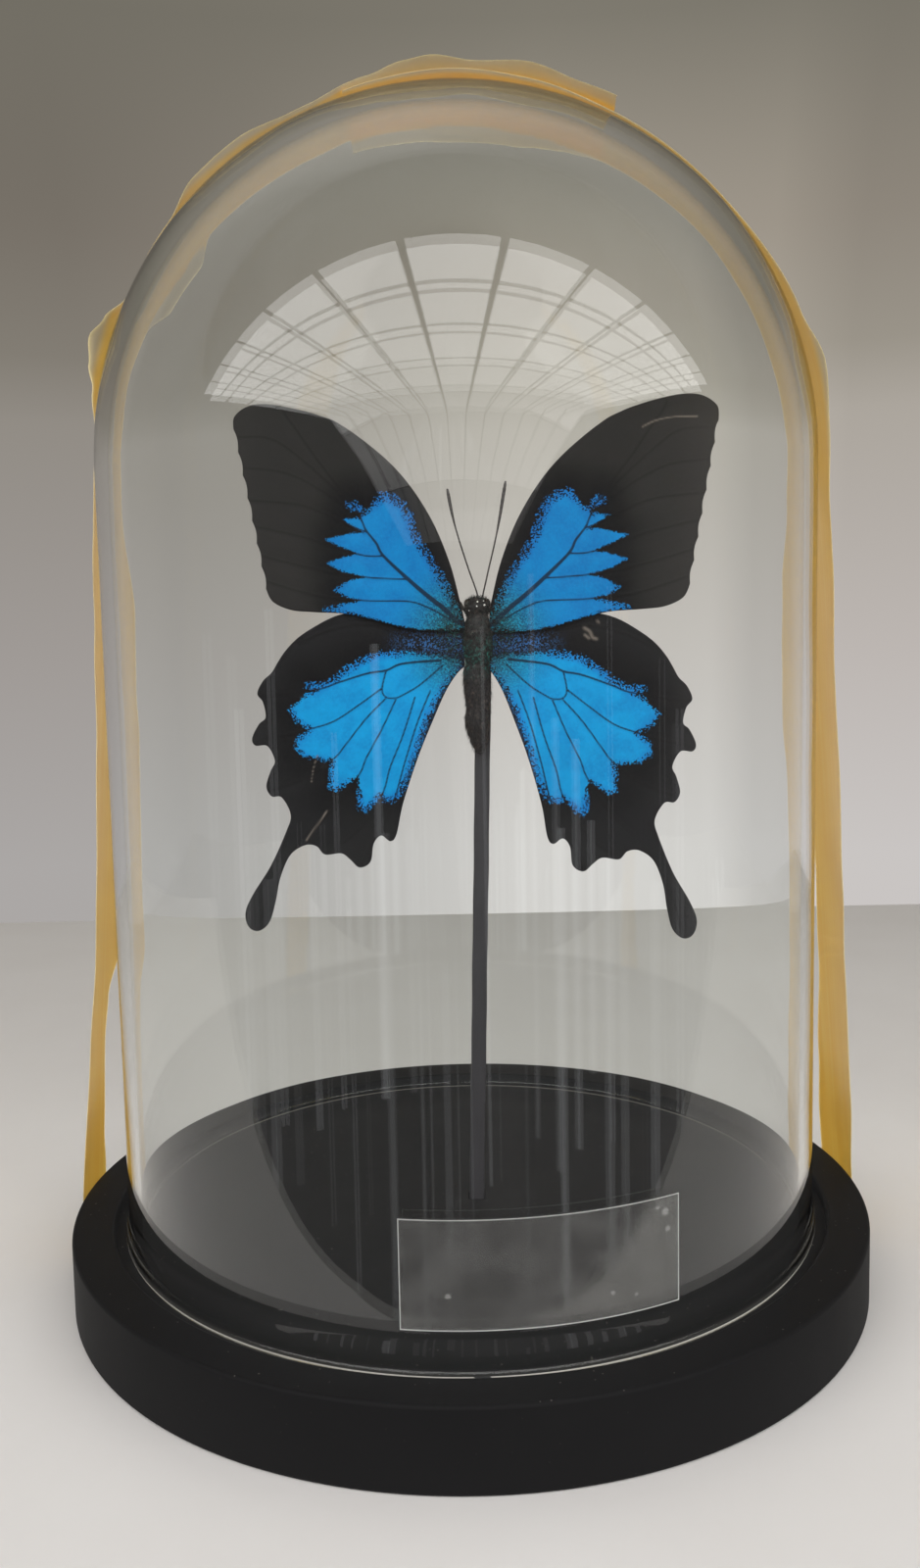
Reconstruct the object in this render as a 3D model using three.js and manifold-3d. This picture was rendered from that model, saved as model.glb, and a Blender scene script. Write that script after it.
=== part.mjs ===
// A blue swallowtail on a stick under a glass dome, held to its base by two strips of tape.
// Millimetres, +Z up. The origin is the centre of the base's underside, and the front is -Y.
import * as THREE from 'three';
import { mergeVertices } from 'three/addons/utils/BufferGeometryUtils.js';
import Module from 'manifold-3d';

const manifoldLibrary = await Module();
manifoldLibrary.setup();

// ---- driving dimensions -------------------------------------------------------------------------------------

const roundSegments = 72;

const base = {
  radius: 100,
  height: 18,
  recessRadius: 90,
  recessDepth: 3,
  edgeBreak: 0.6,
};
const floorHeight = base.height - base.recessDepth;

const dome = {
  radius: 86.5,
  wall: 3,
  crownExtra: 0.6, // further thickness of the glass at its crown
  centreHeight: 200, // where the straight side turns into the half-sphere
  footRadius: 87.4,
  footHeight: 9,
  rimRound: 1.6,
  arcSteps: 9,
};

const stem = {
  width: 3.8,
  footX: 1.8,
  lean: 0.03, // sideways run for each millimetre of height
  topHeight: 157,
  socketDepth: 6,
  socketGap: 0.3,
  centreY: 0.2,
};

// The insect's own origin is the middle of its thorax.
const insect = {
  x: 4.5,
  y: -5.6,
  z: 160,
  depthShare: 0.97, // body depth over body width
  wingThickness: 0.5,
  forewingY: -6.5,
  hindwingY: -5.6,
};

const antenna = { radius: 0.3, sides: 6, steps: 12, y: -6 };
const leg = { radius: 0.35, sides: 6, steps: 10 };

const label = {
  fromAzimuth: -9.8, // degrees from the front, positive towards +X
  toAzimuth: 28.4,
  low: 25.3,
  high: 47.8,
  gap: 0.5,
  thickness: 0.2,
  steps: 18,
};

const tape = {
  thickness: 0.3,
  gap: 0.45, // surface to the middle of the tape
  lapGap: 0.9, // further gap where one strip lies on the other
  lowEnd: 4, // height of the stuck ends on the base's side
  across: 5,
};

// ---- materials ----------------------------------------------------------------------------------------------

const blackPaint = new THREE.MeshStandardMaterial({ color: '#2d2c2b', roughness: 0.6, metalness: 0 });
const clearGlass = new THREE.MeshStandardMaterial({
  color: '#eef3f2', roughness: 0.02, metalness: 0, transparent: true, opacity: 0.2,
});
const blackStick = new THREE.MeshStandardMaterial({ color: '#38363b', roughness: 0.7, metalness: 0 });
const blackHair = new THREE.MeshStandardMaterial({ color: '#1d1a19', roughness: 0.9, metalness: 0 });
const blueScales = new THREE.MeshStandardMaterial({
  color: '#0f7fc0', roughness: 0.6, metalness: 0, side: THREE.DoubleSide,
});
const clearFilm = new THREE.MeshStandardMaterial({
  color: '#e8e8e6', roughness: 0.2, metalness: 0, transparent: true, opacity: 0.3,
});
const amberFilm = new THREE.MeshStandardMaterial({
  color: '#cf9f45', roughness: 0.35, metalness: 0, transparent: true, opacity: 0.8,
});

// ---- helpers ------------------------------------------------------------------------------------------------

const radians = THREE.MathUtils.degToRad;

function signedVolume(position, index) {
  const [a, b, c] = [new THREE.Vector3(), new THREE.Vector3(), new THREE.Vector3()];
  let volume = 0;
  for (let i = 0; i < index.length; i += 3) {
    a.fromBufferAttribute(position, index[i]);
    b.fromBufferAttribute(position, index[i + 1]);
    c.fromBufferAttribute(position, index[i + 2]);
    volume += a.dot(b.cross(c)) / 6;
  }
  return volume;
}

// Merges a geometry's shared corners, drops its collapsed triangles and turns its faces outwards.
function closedBody(geometry) {
  geometry.deleteAttribute('normal');
  geometry.deleteAttribute('uv');
  const merged = mergeVertices(geometry, 1e-4);
  const old = merged.index.array;
  const kept = [];
  for (let i = 0; i < old.length; i += 3) {
    const [a, b, c] = [old[i], old[i + 1], old[i + 2]];
    if (a !== b && b !== c && c !== a) kept.push(a, b, c);
  }
  if (signedVolume(merged.getAttribute('position'), kept) < 0) kept.reverse();
  merged.setIndex(kept);
  merged.computeVertexNormals();
  return merged;
}

// A profile of [radius, height] pairs turned about +Z.
function turned(profile, segments) {
  const points = profile.map(([r, h]) => new THREE.Vector2(r, h));
  const geometry = new THREE.LatheGeometry(points, segments);
  geometry.rotateX(Math.PI / 2);
  return closedBody(geometry);
}

function arc(centreX, centreY, radius, fromDegrees, toDegrees, steps) {
  return Array.from({ length: steps + 1 }, (_, i) => {
    const angle = radians(fromDegrees + ((toDegrees - fromDegrees) * i) / steps);
    return [centreX + radius * Math.cos(angle), centreY + radius * Math.sin(angle)];
  });
}

function polygonTube(points, radius, sides, steps) {
  const shape = new THREE.Shape();
  for (let i = 0; i < sides; i++) {
    const angle = (i * 2 * Math.PI) / sides;
    const corner = [radius * Math.cos(angle), radius * Math.sin(angle)];
    if (i === 0) shape.moveTo(...corner);
    else shape.lineTo(...corner);
  }
  const path = new THREE.CatmullRomCurve3(points.map((p) => new THREE.Vector3(...p)));
  return closedBody(new THREE.ExtrudeGeometry(shape, { steps, bevelEnabled: false, extrudePath: path }));
}

// A thin plate between two grids of points, half its thickness on each side of place(i, j).
// place returns the middle point and the direction that the thickness is measured in.
function plate(rows, columns, thickness, place) {
  const positions = [];
  const index = [];
  for (const side of [1, -1]) {
    for (let i = 0; i <= rows; i++) {
      for (let j = 0; j <= columns; j++) {
        const { point, normal } = place(i, j);
        positions.push(...point.clone().addScaledVector(normal, (side * thickness) / 2));
      }
    }
  }
  const stride = columns + 1;
  const backStart = (rows + 1) * stride;
  const quad = (a, b, c, d) => index.push(a, b, c, a, c, d);
  for (let i = 0; i < rows; i++) {
    for (let j = 0; j < columns; j++) {
      const corner = i * stride + j;
      const next = corner + stride;
      quad(corner, next, next + 1, corner + 1);
      quad(backStart + corner, backStart + corner + 1, backStart + next + 1, backStart + next);
    }
  }
  const loop = [];
  for (let j = 0; j < columns; j++) loop.push(j);
  for (let i = 0; i < rows; i++) loop.push(i * stride + columns);
  for (let j = columns; j > 0; j--) loop.push(rows * stride + j);
  for (let i = rows; i > 0; i--) loop.push(i * stride);
  loop.forEach((from, k) => {
    const to = loop[(k + 1) % loop.length];
    quad(from, to, backStart + to, backStart + from);
  });
  const geometry = new THREE.BufferGeometry();
  geometry.setAttribute('position', new THREE.Float32BufferAttribute(positions, 3));
  geometry.setIndex(index);
  return closedBody(geometry);
}

// Smooth change between [place, value] pairs.
function blendAlong(pairs, place) {
  if (place <= pairs[0][0]) return pairs[0][1];
  for (let i = 1; i < pairs.length; i++) {
    const [from, low] = pairs[i - 1];
    const [to, high] = pairs[i];
    if (place <= to) return low + (high - low) * THREE.MathUtils.smoothstep(place, from, to);
  }
  return pairs[pairs.length - 1][1];
}

const object = new THREE.Group();

function addPiece(name, geometry, material) {
  const mesh = new THREE.Mesh(geometry, material);
  mesh.name = name;
  object.add(mesh);
  return mesh;
}

// ---- base: a turned disc with a recess for the glass and a square blind hole for the stick -------------------------

function toManifold(geometry) {
  return new manifoldLibrary.Manifold(new manifoldLibrary.Mesh({
    numProp: 3,
    vertProperties: new Float32Array(geometry.getAttribute('position').array),
    triVerts: new Uint32Array(geometry.index.array),
  }));
}

function fromManifold(solid) {
  const mesh = solid.getMesh();
  const geometry = new THREE.BufferGeometry();
  geometry.setAttribute('position', new THREE.BufferAttribute(mesh.vertProperties, 3));
  geometry.setIndex(new THREE.BufferAttribute(mesh.triVerts, 1));
  return closedBody(geometry);
}

// The stick's line, followed upwards from the recess floor.
const stemX = (height) => stem.footX + stem.lean * (height - floorHeight);

// A square bar along the stick's line, between two heights.
function stickBar(width, low, high) {
  const half = width / 2;
  const bar = new THREE.BoxGeometry(width, width, high - low);
  bar.translate(0, stem.centreY, (low + high) / 2);
  const position = bar.getAttribute('position');
  for (let i = 0; i < position.count; i++) {
    const side = Math.sign(position.getX(i)) * half;
    position.setX(i, stemX(position.getZ(i)) + side);
  }
  return closedBody(bar);
}

function makeBase() {
  const { radius, height, recessRadius, edgeBreak } = base;
  const disc = turned([
    [0, 0],
    [radius - edgeBreak, 0],
    [radius, edgeBreak],
    [radius, height - edgeBreak],
    [radius - edgeBreak, height],
    [recessRadius + edgeBreak, height],
    [recessRadius, height - edgeBreak],
    [recessRadius, floorHeight],
    [0, floorHeight],
  ], roundSegments);
  const socketWidth = stem.width + 2 * stem.socketGap;
  const socket = stickBar(socketWidth, floorHeight - stem.socketDepth, floorHeight + 1);
  return fromManifold(toManifold(disc).subtract(toManifold(socket)));
}

addPiece('base', makeBase(), blackPaint);

// ---- dome: straight side, half-sphere top and a rounded rim that stands on the recess floor ------------------

function makeDome() {
  const { radius, wall, crownExtra, centreHeight, footRadius, footHeight, rimRound, arcSteps } = dome;
  const innerRadius = radius - wall;
  const footInner = footRadius - 2 * rimRound;
  const rimCentre = floorHeight + rimRound;
  const footTop = floorHeight + footHeight;
  return turned([
    ...arc(footRadius - rimRound, rimCentre, rimRound, -180, 0, 4),
    [radius, footTop],
    ...arc(0, centreHeight, radius, 0, 90, arcSteps),
    ...arc(0, centreHeight - crownExtra, innerRadius, 90, 0, arcSteps),
    [innerRadius, footTop],
    [footInner, rimCentre],
  ], roundSegments);
}

addPiece('glass_dome', makeDome(), clearGlass);

// ---- stem: a square stick in its socket, up to the back of the thorax ----------------------------------------

addPiece('stem', stickBar(stem.width, floorHeight - stem.socketDepth + stem.socketGap, stem.topHeight), blackStick);

// ---- insect body: head, neck, thorax and abdomen, as [half width, height from the thorax's middle] -------------

const bodyProfile = [
  [0, -28.4], [1.1, -27.4], [1.9, -25.5], [2.5, -23], [2.9, -20], [3.0, -16], [3.2, -11], [3.0, -8],
  [2.8, -6.4], [3.3, -4], [3.5, -1], [3.4, 2], [2.7, 4.6], [2.3, 5.6], [2.8, 6.6], [3.1, 7.6],
  [2.85, 8.5], [1.7, 9.4], [0, 9.75],
];

const body = turned(bodyProfile, 20);
body.scale(1, insect.depthShare, 1);
const bodyMesh = addPiece('insect_body', body, blackHair);
bodyMesh.position.set(insect.x, insect.y, insect.z);

// ---- wings: outlines of the right pair, as [out from the body's axis, up from the thorax's middle] -----------------

const forewingEdge = {
  costa: [
    [3.9, 9.2], [6, 18.5], [10.4, 29], [17, 39], [25, 46.8], [35.5, 53.9], [47, 57.4], [54.5, 57.8], [59, 55.2],
  ],
  marginFrom: [59.4, 51.5],
  marginTo: [52.3, 12.2],
  scallops: 7,
  scallopDepth: 0.45,
  innerMargin: [[50.6, 8.9], [46, 6.8], [40, 6.2], [32, 5.7], [25, 4], [19, 2.2], [13, 1.2], [7.5, 1.2], [4, 1.6]],
};

const hindwingEdge = [
  [4, 1.2], [9, 2.8], [17, 5], [24, 6.2], [30, 5.4], [34.6, 4], [39.3, 1.3], [43.4, -1.7], [46.3, -5],
  [48.1, -7.9], [49.6, -10.6], [51.7, -12.8], [53, -16], [51.5, -18.1], [50.7, -21.8], [52.3, -23.6],
  [53.9, -27.2], [53, -29], [50, -29], [48, -32.6], [49, -35.3], [49.9, -39.2], [48.5, -41.6], [45.9, -41.8],
  [43.5, -46], [44.4, -50.2], [48, -59.2], [52.2, -66.6], [54.1, -71.5], [53.2, -75.2], [50.6, -76.2],
  [47.9, -73.8], [46.5, -68.5], [45.5, -62.2], [43.2, -56.3], [39.6, -53.6], [36.6, -53.7], [34.4, -55.7],
  [30.3, -55.2], [28, -56.6], [25.5, -58.6], [22.8, -57], [22.2, -52.4], [20.4, -50.2], [18, -51.5],
  [16.5, -49.6], [15.2, -41.7], [12.1, -30.3], [9, -21.3], [5.9, -13], [4, -8.2],
];

// How far each wing is turned, scaled and shifted from the right pair's outline, in its own mirrored plane.
const wingSet = [
  { name: 'right_forewing', side: 1, edge: 'fore', turn: 0, scale: 1, shift: [0, 0] },
  { name: 'left_forewing', side: -1, edge: 'fore', turn: 0.5, scale: 0.97, shift: [0.9, 0.6] },
  { name: 'right_hindwing', side: 1, edge: 'hind', turn: 0, scale: 1, shift: [0, 0] },
  { name: 'left_hindwing', side: -1, edge: 'hind', turn: 4, scale: 0.987, shift: [1.4, -0.3] },
];
const wingHinge = new THREE.Vector2(3.5, 1);
const nearestToBody = 3.9;

function smoothLine(points, perSpan) {
  const curve = new THREE.SplineCurve(points.map(([x, y]) => new THREE.Vector2(x, y)));
  return curve.getPoints((points.length - 1) * perSpan);
}

// The outer margin: a straight line bitten by shallow scallops.
function scallopedMargin({ marginFrom, marginTo, scallops, scallopDepth }) {
  const from = new THREE.Vector2(...marginFrom);
  const to = new THREE.Vector2(...marginTo);
  const inwards = new THREE.Vector2(to.y - from.y, from.x - to.x).normalize();
  const count = scallops * 3;
  return Array.from({ length: count - 1 }, (_, i) => {
    const share = (i + 1) / count;
    const bite = scallopDepth * Math.abs(Math.sin(share * scallops * Math.PI));
    return from.clone().lerp(to, share).addScaledVector(inwards, bite);
  });
}

function wingOutline(kind) {
  if (kind === 'hind') return smoothLine(hindwingEdge, 2);
  const lead = smoothLine([...forewingEdge.costa, forewingEdge.marginFrom], 3);
  const trail = smoothLine([forewingEdge.marginTo, ...forewingEdge.innerMargin], 3);
  return [...lead, ...scallopedMargin(forewingEdge), ...trail];
}

function makeWing({ side, edge, turn, scale, shift }) {
  const points = wingOutline(edge).map((point) => {
    const placed = point.clone().sub(wingHinge).rotateAround(new THREE.Vector2(), radians(turn));
    placed.multiplyScalar(scale).add(wingHinge).add(new THREE.Vector2(...shift));
    return new THREE.Vector2(side * Math.max(placed.x, nearestToBody), placed.y);
  });
  const shape = new THREE.Shape(points);
  const geometry = new THREE.ExtrudeGeometry(shape, { depth: insect.wingThickness, bevelEnabled: false });
  geometry.rotateX(Math.PI / 2);
  return closedBody(geometry);
}

for (const wing of wingSet) {
  const mesh = addPiece(wing.name, makeWing(wing), blueScales);
  mesh.position.set(insect.x, wing.edge === 'fore' ? insect.forewingY : insect.hindwingY, insect.z);
}

// ---- antennae, from the top of the head -----------------------------------------------------------------------------

const antennaLines = {
  left_antenna: [[0.15, 10.2], [-2.1, 17.1], [-4.2, 23.9], [-5.7, 29.8], [-6.8, 36]],
  right_antenna: [[1.3, 10.2], [2.9, 16.5], [4.2, 22.4], [5.7, 28.3], [7.4, 37.6]],
};

for (const [name, line] of Object.entries(antennaLines)) {
  const points = line.map(([x, z]) => [x, 0, z]);
  const mesh = addPiece(name, polygonTube(points, antenna.radius, antenna.sides, antenna.steps), blackHair);
  mesh.position.set(insect.x, antenna.y, insect.z);
}

// ---- legs, folded behind the thorax: [out from the axis, back, up] for one side ------------------------------------

const legLines = {
  front: [[1.4, 3.7, 5.2], [3.4, 5.2, 7.4], [4.2, 6.6, 9], [2.6, 7.2, 6.2], [1.6, 7.6, 3.6]],
  middle: [[2.9, 3.2, 1], [4.9, 4.6, 2.6], [6, 6, 3.4], [5.4, 7.4, 0.4], [4.4, 8.4, -2.6]],
  hind: [[3.2, 2.9, -3], [4.8, 3.6, -2.2], [6.4, 5, -2.4], [5.8, 7, -4.6], [5.2, 8.2, -6.4]],
};

for (const [pair, line] of Object.entries(legLines)) {
  for (const [sideName, side] of [['left', -1], ['right', 1]]) {
    const points = line.map(([x, y, z]) => [side * x, y, z]);
    const mesh = addPiece(`${sideName}_${pair}_leg`, polygonTube(points, leg.radius, leg.sides, leg.steps), blackHair);
    mesh.position.set(insect.x, insect.y, insect.z);
  }
}

// ---- label: clear film bent round the front of the glass -------------------------------------------------------

function makeLabel() {
  const radius = dome.radius + label.gap;
  return plate(label.steps, 1, label.thickness, (i, j) => {
    const azimuth = radians(label.fromAzimuth + ((label.toAzimuth - label.fromAzimuth) * i) / label.steps);
    const normal = new THREE.Vector3(Math.sin(azimuth), -Math.cos(azimuth), 0);
    const point = normal.clone().multiplyScalar(radius);
    point.z = j === 0 ? label.low : label.high;
    return { point, normal };
  });
}

addPiece('label', makeLabel(), clearFilm);

// ---- tape: two strips from the base's side, straight up to the dome's shoulder and over its top -----------------

// A strip's stations are named by reach: 0 at its low end, 1 at the base's top edge, 2 at the dome's shoulder
// and 3 at the top of the dome, and 4 would be the other shoulder.
const edgeRadius = base.radius + tape.gap;
const domeRadius = dome.radius + tape.gap;
const shoulderToCentre = dome.centreHeight - base.height;
const edgeToCentre = Math.hypot(edgeRadius, shoulderToCentre);
const shoulderAngle = Math.acos(domeRadius / edgeToCentre) - Math.atan2(shoulderToCentre, edgeRadius);

function onBaseSide(side, y, height) {
  const normal = new THREE.Vector3(side * Math.sqrt(1 - (y / edgeRadius) ** 2), y / edgeRadius, 0);
  const point = normal.clone().multiplyScalar(edgeRadius);
  point.z = height;
  return { point, normal };
}

function onDome(side, y, angle) {
  const ring = Math.sqrt(domeRadius ** 2 - y ** 2);
  const point = new THREE.Vector3(side * ring * Math.cos(angle), y, ring * Math.sin(angle));
  const normal = point.clone().normalize();
  point.z += dome.centreHeight;
  return { point, normal };
}

function stripPlace(side, reach, y) {
  if (reach <= 1) return onBaseSide(side, y, tape.lowEnd + (base.height - tape.lowEnd) * reach);
  if (reach < 2) {
    const low = onBaseSide(side, y, base.height);
    const high = onDome(side, y, shoulderAngle);
    const point = low.point.lerp(high.point, reach - 1);
    return { point, normal: low.normal.lerp(high.normal, reach - 1).normalize() };
  }
  return onDome(side, y, shoulderAngle + (reach - 2) * (Math.PI / 2 - shoulderAngle));
}

// front and rear: where each edge runs, front to back. frontLift and rearLift: how far it stands off.
const strips = {
  left_tape: {
    side: -1,
    reachEnd: 3.3,
    rise: [[2.74, 0], [2.81, tape.lapGap]],
    front: [
      [0, -3.8], [1, -3.8], [1.2, -0.3], [1.32, 2.4], [1.43, 1.5], [1.62, -1.7], [1.76, -6.7], [1.88, -12.5],
      [2.1, -16], [2.3, -20], [2.45, -26], [2.6, -32], [2.75, -37], [2.86, -39.5], [3, -38.5], [3.1, -40],
      [3.3, -39],
    ],
    rear: [
      [0, 14.4], [1, 14.4], [1.07, 12.6], [1.2, 11.4], [1.26, 12.8], [1.32, 19], [1.42, 16.8], [1.62, 15.4],
      [1.7, 12.6], [1.79, 12], [1.94, -1], [2.05, -3], [2.15, -6], [2.24, -4.5], [2.32, 6.5], [2.42, 7],
      [2.48, -4], [2.75, -4], [2.86, -4], [3, 3], [3.1, 6.3], [3.17, 6.3], [3.24, 3], [3.3, 0],
    ],
    frontLift: [
      [2.03, 0], [2.1, 1.5], [2.14, 3.4], [2.185, 4.8], [2.22, 2.9], [2.27, 0], [2.42, 0], [2.5, 2],
      [2.6, 2], [2.7, 0.8], [2.78, 0.8], [2.85, 1.4], [2.92, 2.8], [2.965, 3.3], [3.04, 2.2], [3.14, 3.3],
      [3.23, 2.3], [3.3, 2.5],
    ],
    rearLift: [[2.8, 0], [3, 0.5], [3.3, 0.5]],
  },
  right_tape: {
    side: 1,
    reachEnd: 3.195,
    rise: [[0, 0]],
    front: [
      [0, -0.3], [1, -0.3], [1.12, -4.3], [1.31, -6.8], [1.42, -10.5], [1.61, -17.8], [1.8, -24], [1.95, -27],
      [2.1, -30], [2.4, -33], [2.7, -36], [3.195, -36],
    ],
    rear: [
      [0, 20], [1.05, 20], [1.15, 18], [1.3, 14], [1.45, 12], [1.55, 12], [1.63, 14.5], [1.72, 13],
      [1.82, 10.5], [1.92, 4], [2, 1], [2.15, 0], [2.3, -2], [2.45, -4.3], [2.6, -3.5], [2.72, -3],
      [2.8, 2.5], [2.87, 6], [3, 6.5], [3.07, 5], [3.195, 3.2],
    ],
    frontLift: [
      [1.7, 0], [1.84, 1.1], [1.9, 1.2], [2, 2.3], [2.11, 3.4], [2.2, 1.5], [2.45, 0], [2.7, 0.3], [2.85, 1],
      [3, 1.5], [3.15, 1], [3.195, 0.8],
    ],
    rearLift: [[0, 0]],
  },
};
const stationsPerReach = [2, 8, 14, 14];

function stripStations(reachEnd) {
  const stations = [];
  stationsPerReach.forEach((count, whole) => {
    for (let i = 0; i < count; i++) {
      const reach = whole + i / count;
      if (reach < reachEnd - 1 / count / 2) stations.push(reach);
    }
  });
  return [...stations, reachEnd];
}

function makeStrip({ side, reachEnd, rise, front, rear, frontLift, rearLift }) {
  const stations = stripStations(reachEnd);
  return plate(stations.length - 1, tape.across, tape.thickness, (i, j) => {
    const reach = stations[i];
    const across = (2 * j) / tape.across - 1; // -1 at the front edge, 1 at the rear edge
    const y = THREE.MathUtils.lerp(blendAlong(front, reach), blendAlong(rear, reach), j / tape.across);
    const { point, normal } = stripPlace(side, reach, y);
    const edgeLift = blendAlong(across < 0 ? frontLift : rearLift, reach) * across ** 2;
    point.addScaledVector(normal, blendAlong(rise, reach) + edgeLift);
    return { point, normal };
  });
}

for (const [name, strip] of Object.entries(strips)) addPiece(name, makeStrip(strip), amberFilm);

export default object;
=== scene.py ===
# A blue swallowtail on a stick under a glass dome, held to its painted base by two strips of tape.
import math
import random

import bmesh
import bpy
import numpy as np
from mathutils import Matrix, Vector
from mathutils.geometry import delaunay_2d_cdt


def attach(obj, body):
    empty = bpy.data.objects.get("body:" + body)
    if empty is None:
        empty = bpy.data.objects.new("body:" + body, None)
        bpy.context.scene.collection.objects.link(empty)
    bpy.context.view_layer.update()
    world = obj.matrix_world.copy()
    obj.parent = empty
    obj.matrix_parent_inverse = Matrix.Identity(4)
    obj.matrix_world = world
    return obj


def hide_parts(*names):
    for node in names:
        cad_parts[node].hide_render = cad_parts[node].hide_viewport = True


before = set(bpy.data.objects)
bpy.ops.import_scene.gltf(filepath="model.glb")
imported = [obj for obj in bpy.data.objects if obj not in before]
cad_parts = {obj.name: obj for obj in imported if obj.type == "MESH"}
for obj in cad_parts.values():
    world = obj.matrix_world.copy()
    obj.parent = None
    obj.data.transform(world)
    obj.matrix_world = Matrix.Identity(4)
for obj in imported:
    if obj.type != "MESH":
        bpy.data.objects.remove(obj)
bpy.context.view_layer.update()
scene = bpy.context.scene


# small helpers (lengths are millimetres until meshPiece turns them to metres)

def srgb(code):
    channels = [int(code[i:i + 2], 16) / 255 for i in (1, 3, 5)]
    linear = [c / 12.92 if c <= 0.04045 else ((c + 0.055) / 1.055) ** 2.4 for c in channels]
    return (*linear, 1.0)


def grain(millimetres):  # a noise scale whose lumps are this wide
    return 1000 / millimetres


def feed(tree, node, inputs):  # links a node's sockets, or sets their values
    for key, value in inputs.items():
        if isinstance(value, bpy.types.NodeSocket):
            tree.links.new(value, node.inputs[key])
        else:
            node.inputs[key].default_value = value


def add(tree, kind, inputs=None, out=None, **settings):  # a new node, or its output called out
    made = tree.nodes.new(kind)
    for name, value in settings.items():
        setattr(made, name, value)
    feed(tree, made, inputs or {})
    return made if out is None else made.outputs[out]


# settings that many nodes share
smoothly = {"interpolation_type": "SMOOTHSTEP"}
inColour = {"data_type": "RGBA"}
times = {"operation": "MULTIPLY"}
plus = {"operation": "ADD"}
minus = {"operation": "SUBTRACT"}


def newMaterial(name):
    material = bpy.data.materials.new(name)
    material.use_nodes = True
    tree = material.node_tree
    return material, tree, tree.nodes["Principled BSDF"]


def meshPiece(name, points, faces, smooth=True):
    mesh = bpy.data.meshes.new(name)
    mesh.from_pydata((np.asarray(points, float) / 1000).tolist(), [], [tuple(map(int, f)) for f in faces])
    mesh.update()
    if smooth:
        mesh.shade_smooth()
    else:
        mesh.shade_flat()
    piece = bpy.data.objects.new(name, mesh)
    scene.collection.objects.link(piece)
    return piece


def fillRamp(ramp, stops):  # stops: (place, colour), from the low end up
    elements = ramp.color_ramp.elements
    for element, (place, colour) in zip((elements[0], elements[1]), (stops[0], stops[-1])):
        element.position, element.color = place, colour
    for place, colour in stops[1:-1]:
        elements.new(place).color = colour


def setAttribute(piece, name, values):
    made = piece.data.attributes.new(name, "FLOAT", "POINT")
    made.data.foreach_set("value", np.asarray(values, np.float32))


def outwards(piece, sharpAngle=None):
    work = bmesh.new()
    work.from_mesh(piece.data)
    bmesh.ops.recalc_face_normals(work, faces=work.faces)
    work.to_mesh(piece.data)
    work.free()
    if sharpAngle is not None:
        piece.data.set_sharp_from_angle(angle=math.radians(sharpAngle))


def finishPiece(piece, material, replaced=()):
    piece.data.materials.clear()
    piece.data.materials.append(material)
    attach(piece, "root")
    if replaced:
        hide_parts(*replaced)


def bakeModifiers(piece):  # the evaluated shape becomes the piece's plain mesh
    evaluated = piece.evaluated_get(bpy.context.evaluated_depsgraph_get())
    mesh = bpy.data.meshes.new_from_object(evaluated)
    piece.modifiers.clear()
    piece.data = mesh


def turned(name, profile, segments, sharpAngle=40):  # a profile of (radius, height) turned about Z
    points, rings = [], []
    for radius, height in profile:
        if radius < 1e-6:
            rings.append([len(points)])
            points.append((0, 0, height))
            continue
        rings.append(list(range(len(points), len(points) + segments)))
        for i in range(segments):
            angle = 2 * math.pi * i / segments
            points.append((radius * math.cos(angle), radius * math.sin(angle), height))
    faces = []
    if len(rings[0]) > 1:
        rings.append(rings[0])
    for low, high in zip(rings, rings[1:]):
        for i in range(segments):
            j = (i + 1) % segments
            if len(low) == 1 and len(high) > 1:
                faces.append((low[0], high[j], high[i]))
            elif len(high) == 1 and len(low) > 1:
                faces.append((low[i], low[j], high[0]))
            elif len(low) > 1:
                faces.append((low[i], low[j], high[j], high[i]))
    piece = meshPiece(name, points, faces)
    outwards(piece, sharpAngle)
    return piece


def arc(centreX, centreY, radius, fromDegrees, toDegrees, steps):
    angles = [math.radians(fromDegrees + (toDegrees - fromDegrees) * i / steps) for i in range(steps + 1)]
    return [(centreX + radius * math.cos(a), centreY + radius * math.sin(a)) for a in angles]


def smoothLine(points, perSpan):  # a curve through the points
    points = np.asarray(points, float)
    line = []
    for i in range(len(points) - 1):
        a, b = points[max(i - 1, 0)], points[i]
        c, d = points[i + 1], points[min(i + 2, len(points) - 1)]
        for k in range(perSpan):
            t = k / perSpan
            line.append(b + t * (c - a) / 2 + t * t * (a - 2.5 * b + 2 * c - d / 2)
                        + t ** 3 * (1.5 * b - 1.5 * c + (d - a) / 2))
    return np.array([*line, points[-1]])


def blendAlong(pairs, place):  # smooth change between (place, value) pairs
    if place <= pairs[0][0]:
        return pairs[0][1]
    for (start, low), (end, high) in zip(pairs, pairs[1:]):
        if place <= end:
            t = (place - start) / (end - start)
            return low + (high - low) * t * t * (3 - 2 * t)
    return pairs[-1][1]


def smoothStep(values, low, high):
    t = np.clip((values - low) / (high - low), 0, 1)
    return t * t * (3 - 2 * t)


def distanceTo(points, line):  # from each point to the nearest stretch of a line, in the plane
    nearest = np.full(len(points), 1e9)
    for start, end in zip(line[:-1], line[1:]):
        along = end - start
        share = np.clip(((points - start) @ along) / max(along @ along, 1e-12), 0, 1)
        nearest = np.minimum(nearest, np.linalg.norm(points - start - share[:, None] * along, axis=1))
    return nearest


def inside(points, outline):
    x, y = points[:, 0], points[:, 1]
    within = np.zeros(len(points), bool)
    for (x1, y1), (x2, y2) in zip(outline, np.roll(outline, -1, axis=0)):
        if y1 != y2:
            crosses = ((y1 > y) != (y2 > y)) & (x < (x2 - x1) * (y - y1) / (y2 - y1) + x1)
            within ^= crosses
    return within


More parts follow.
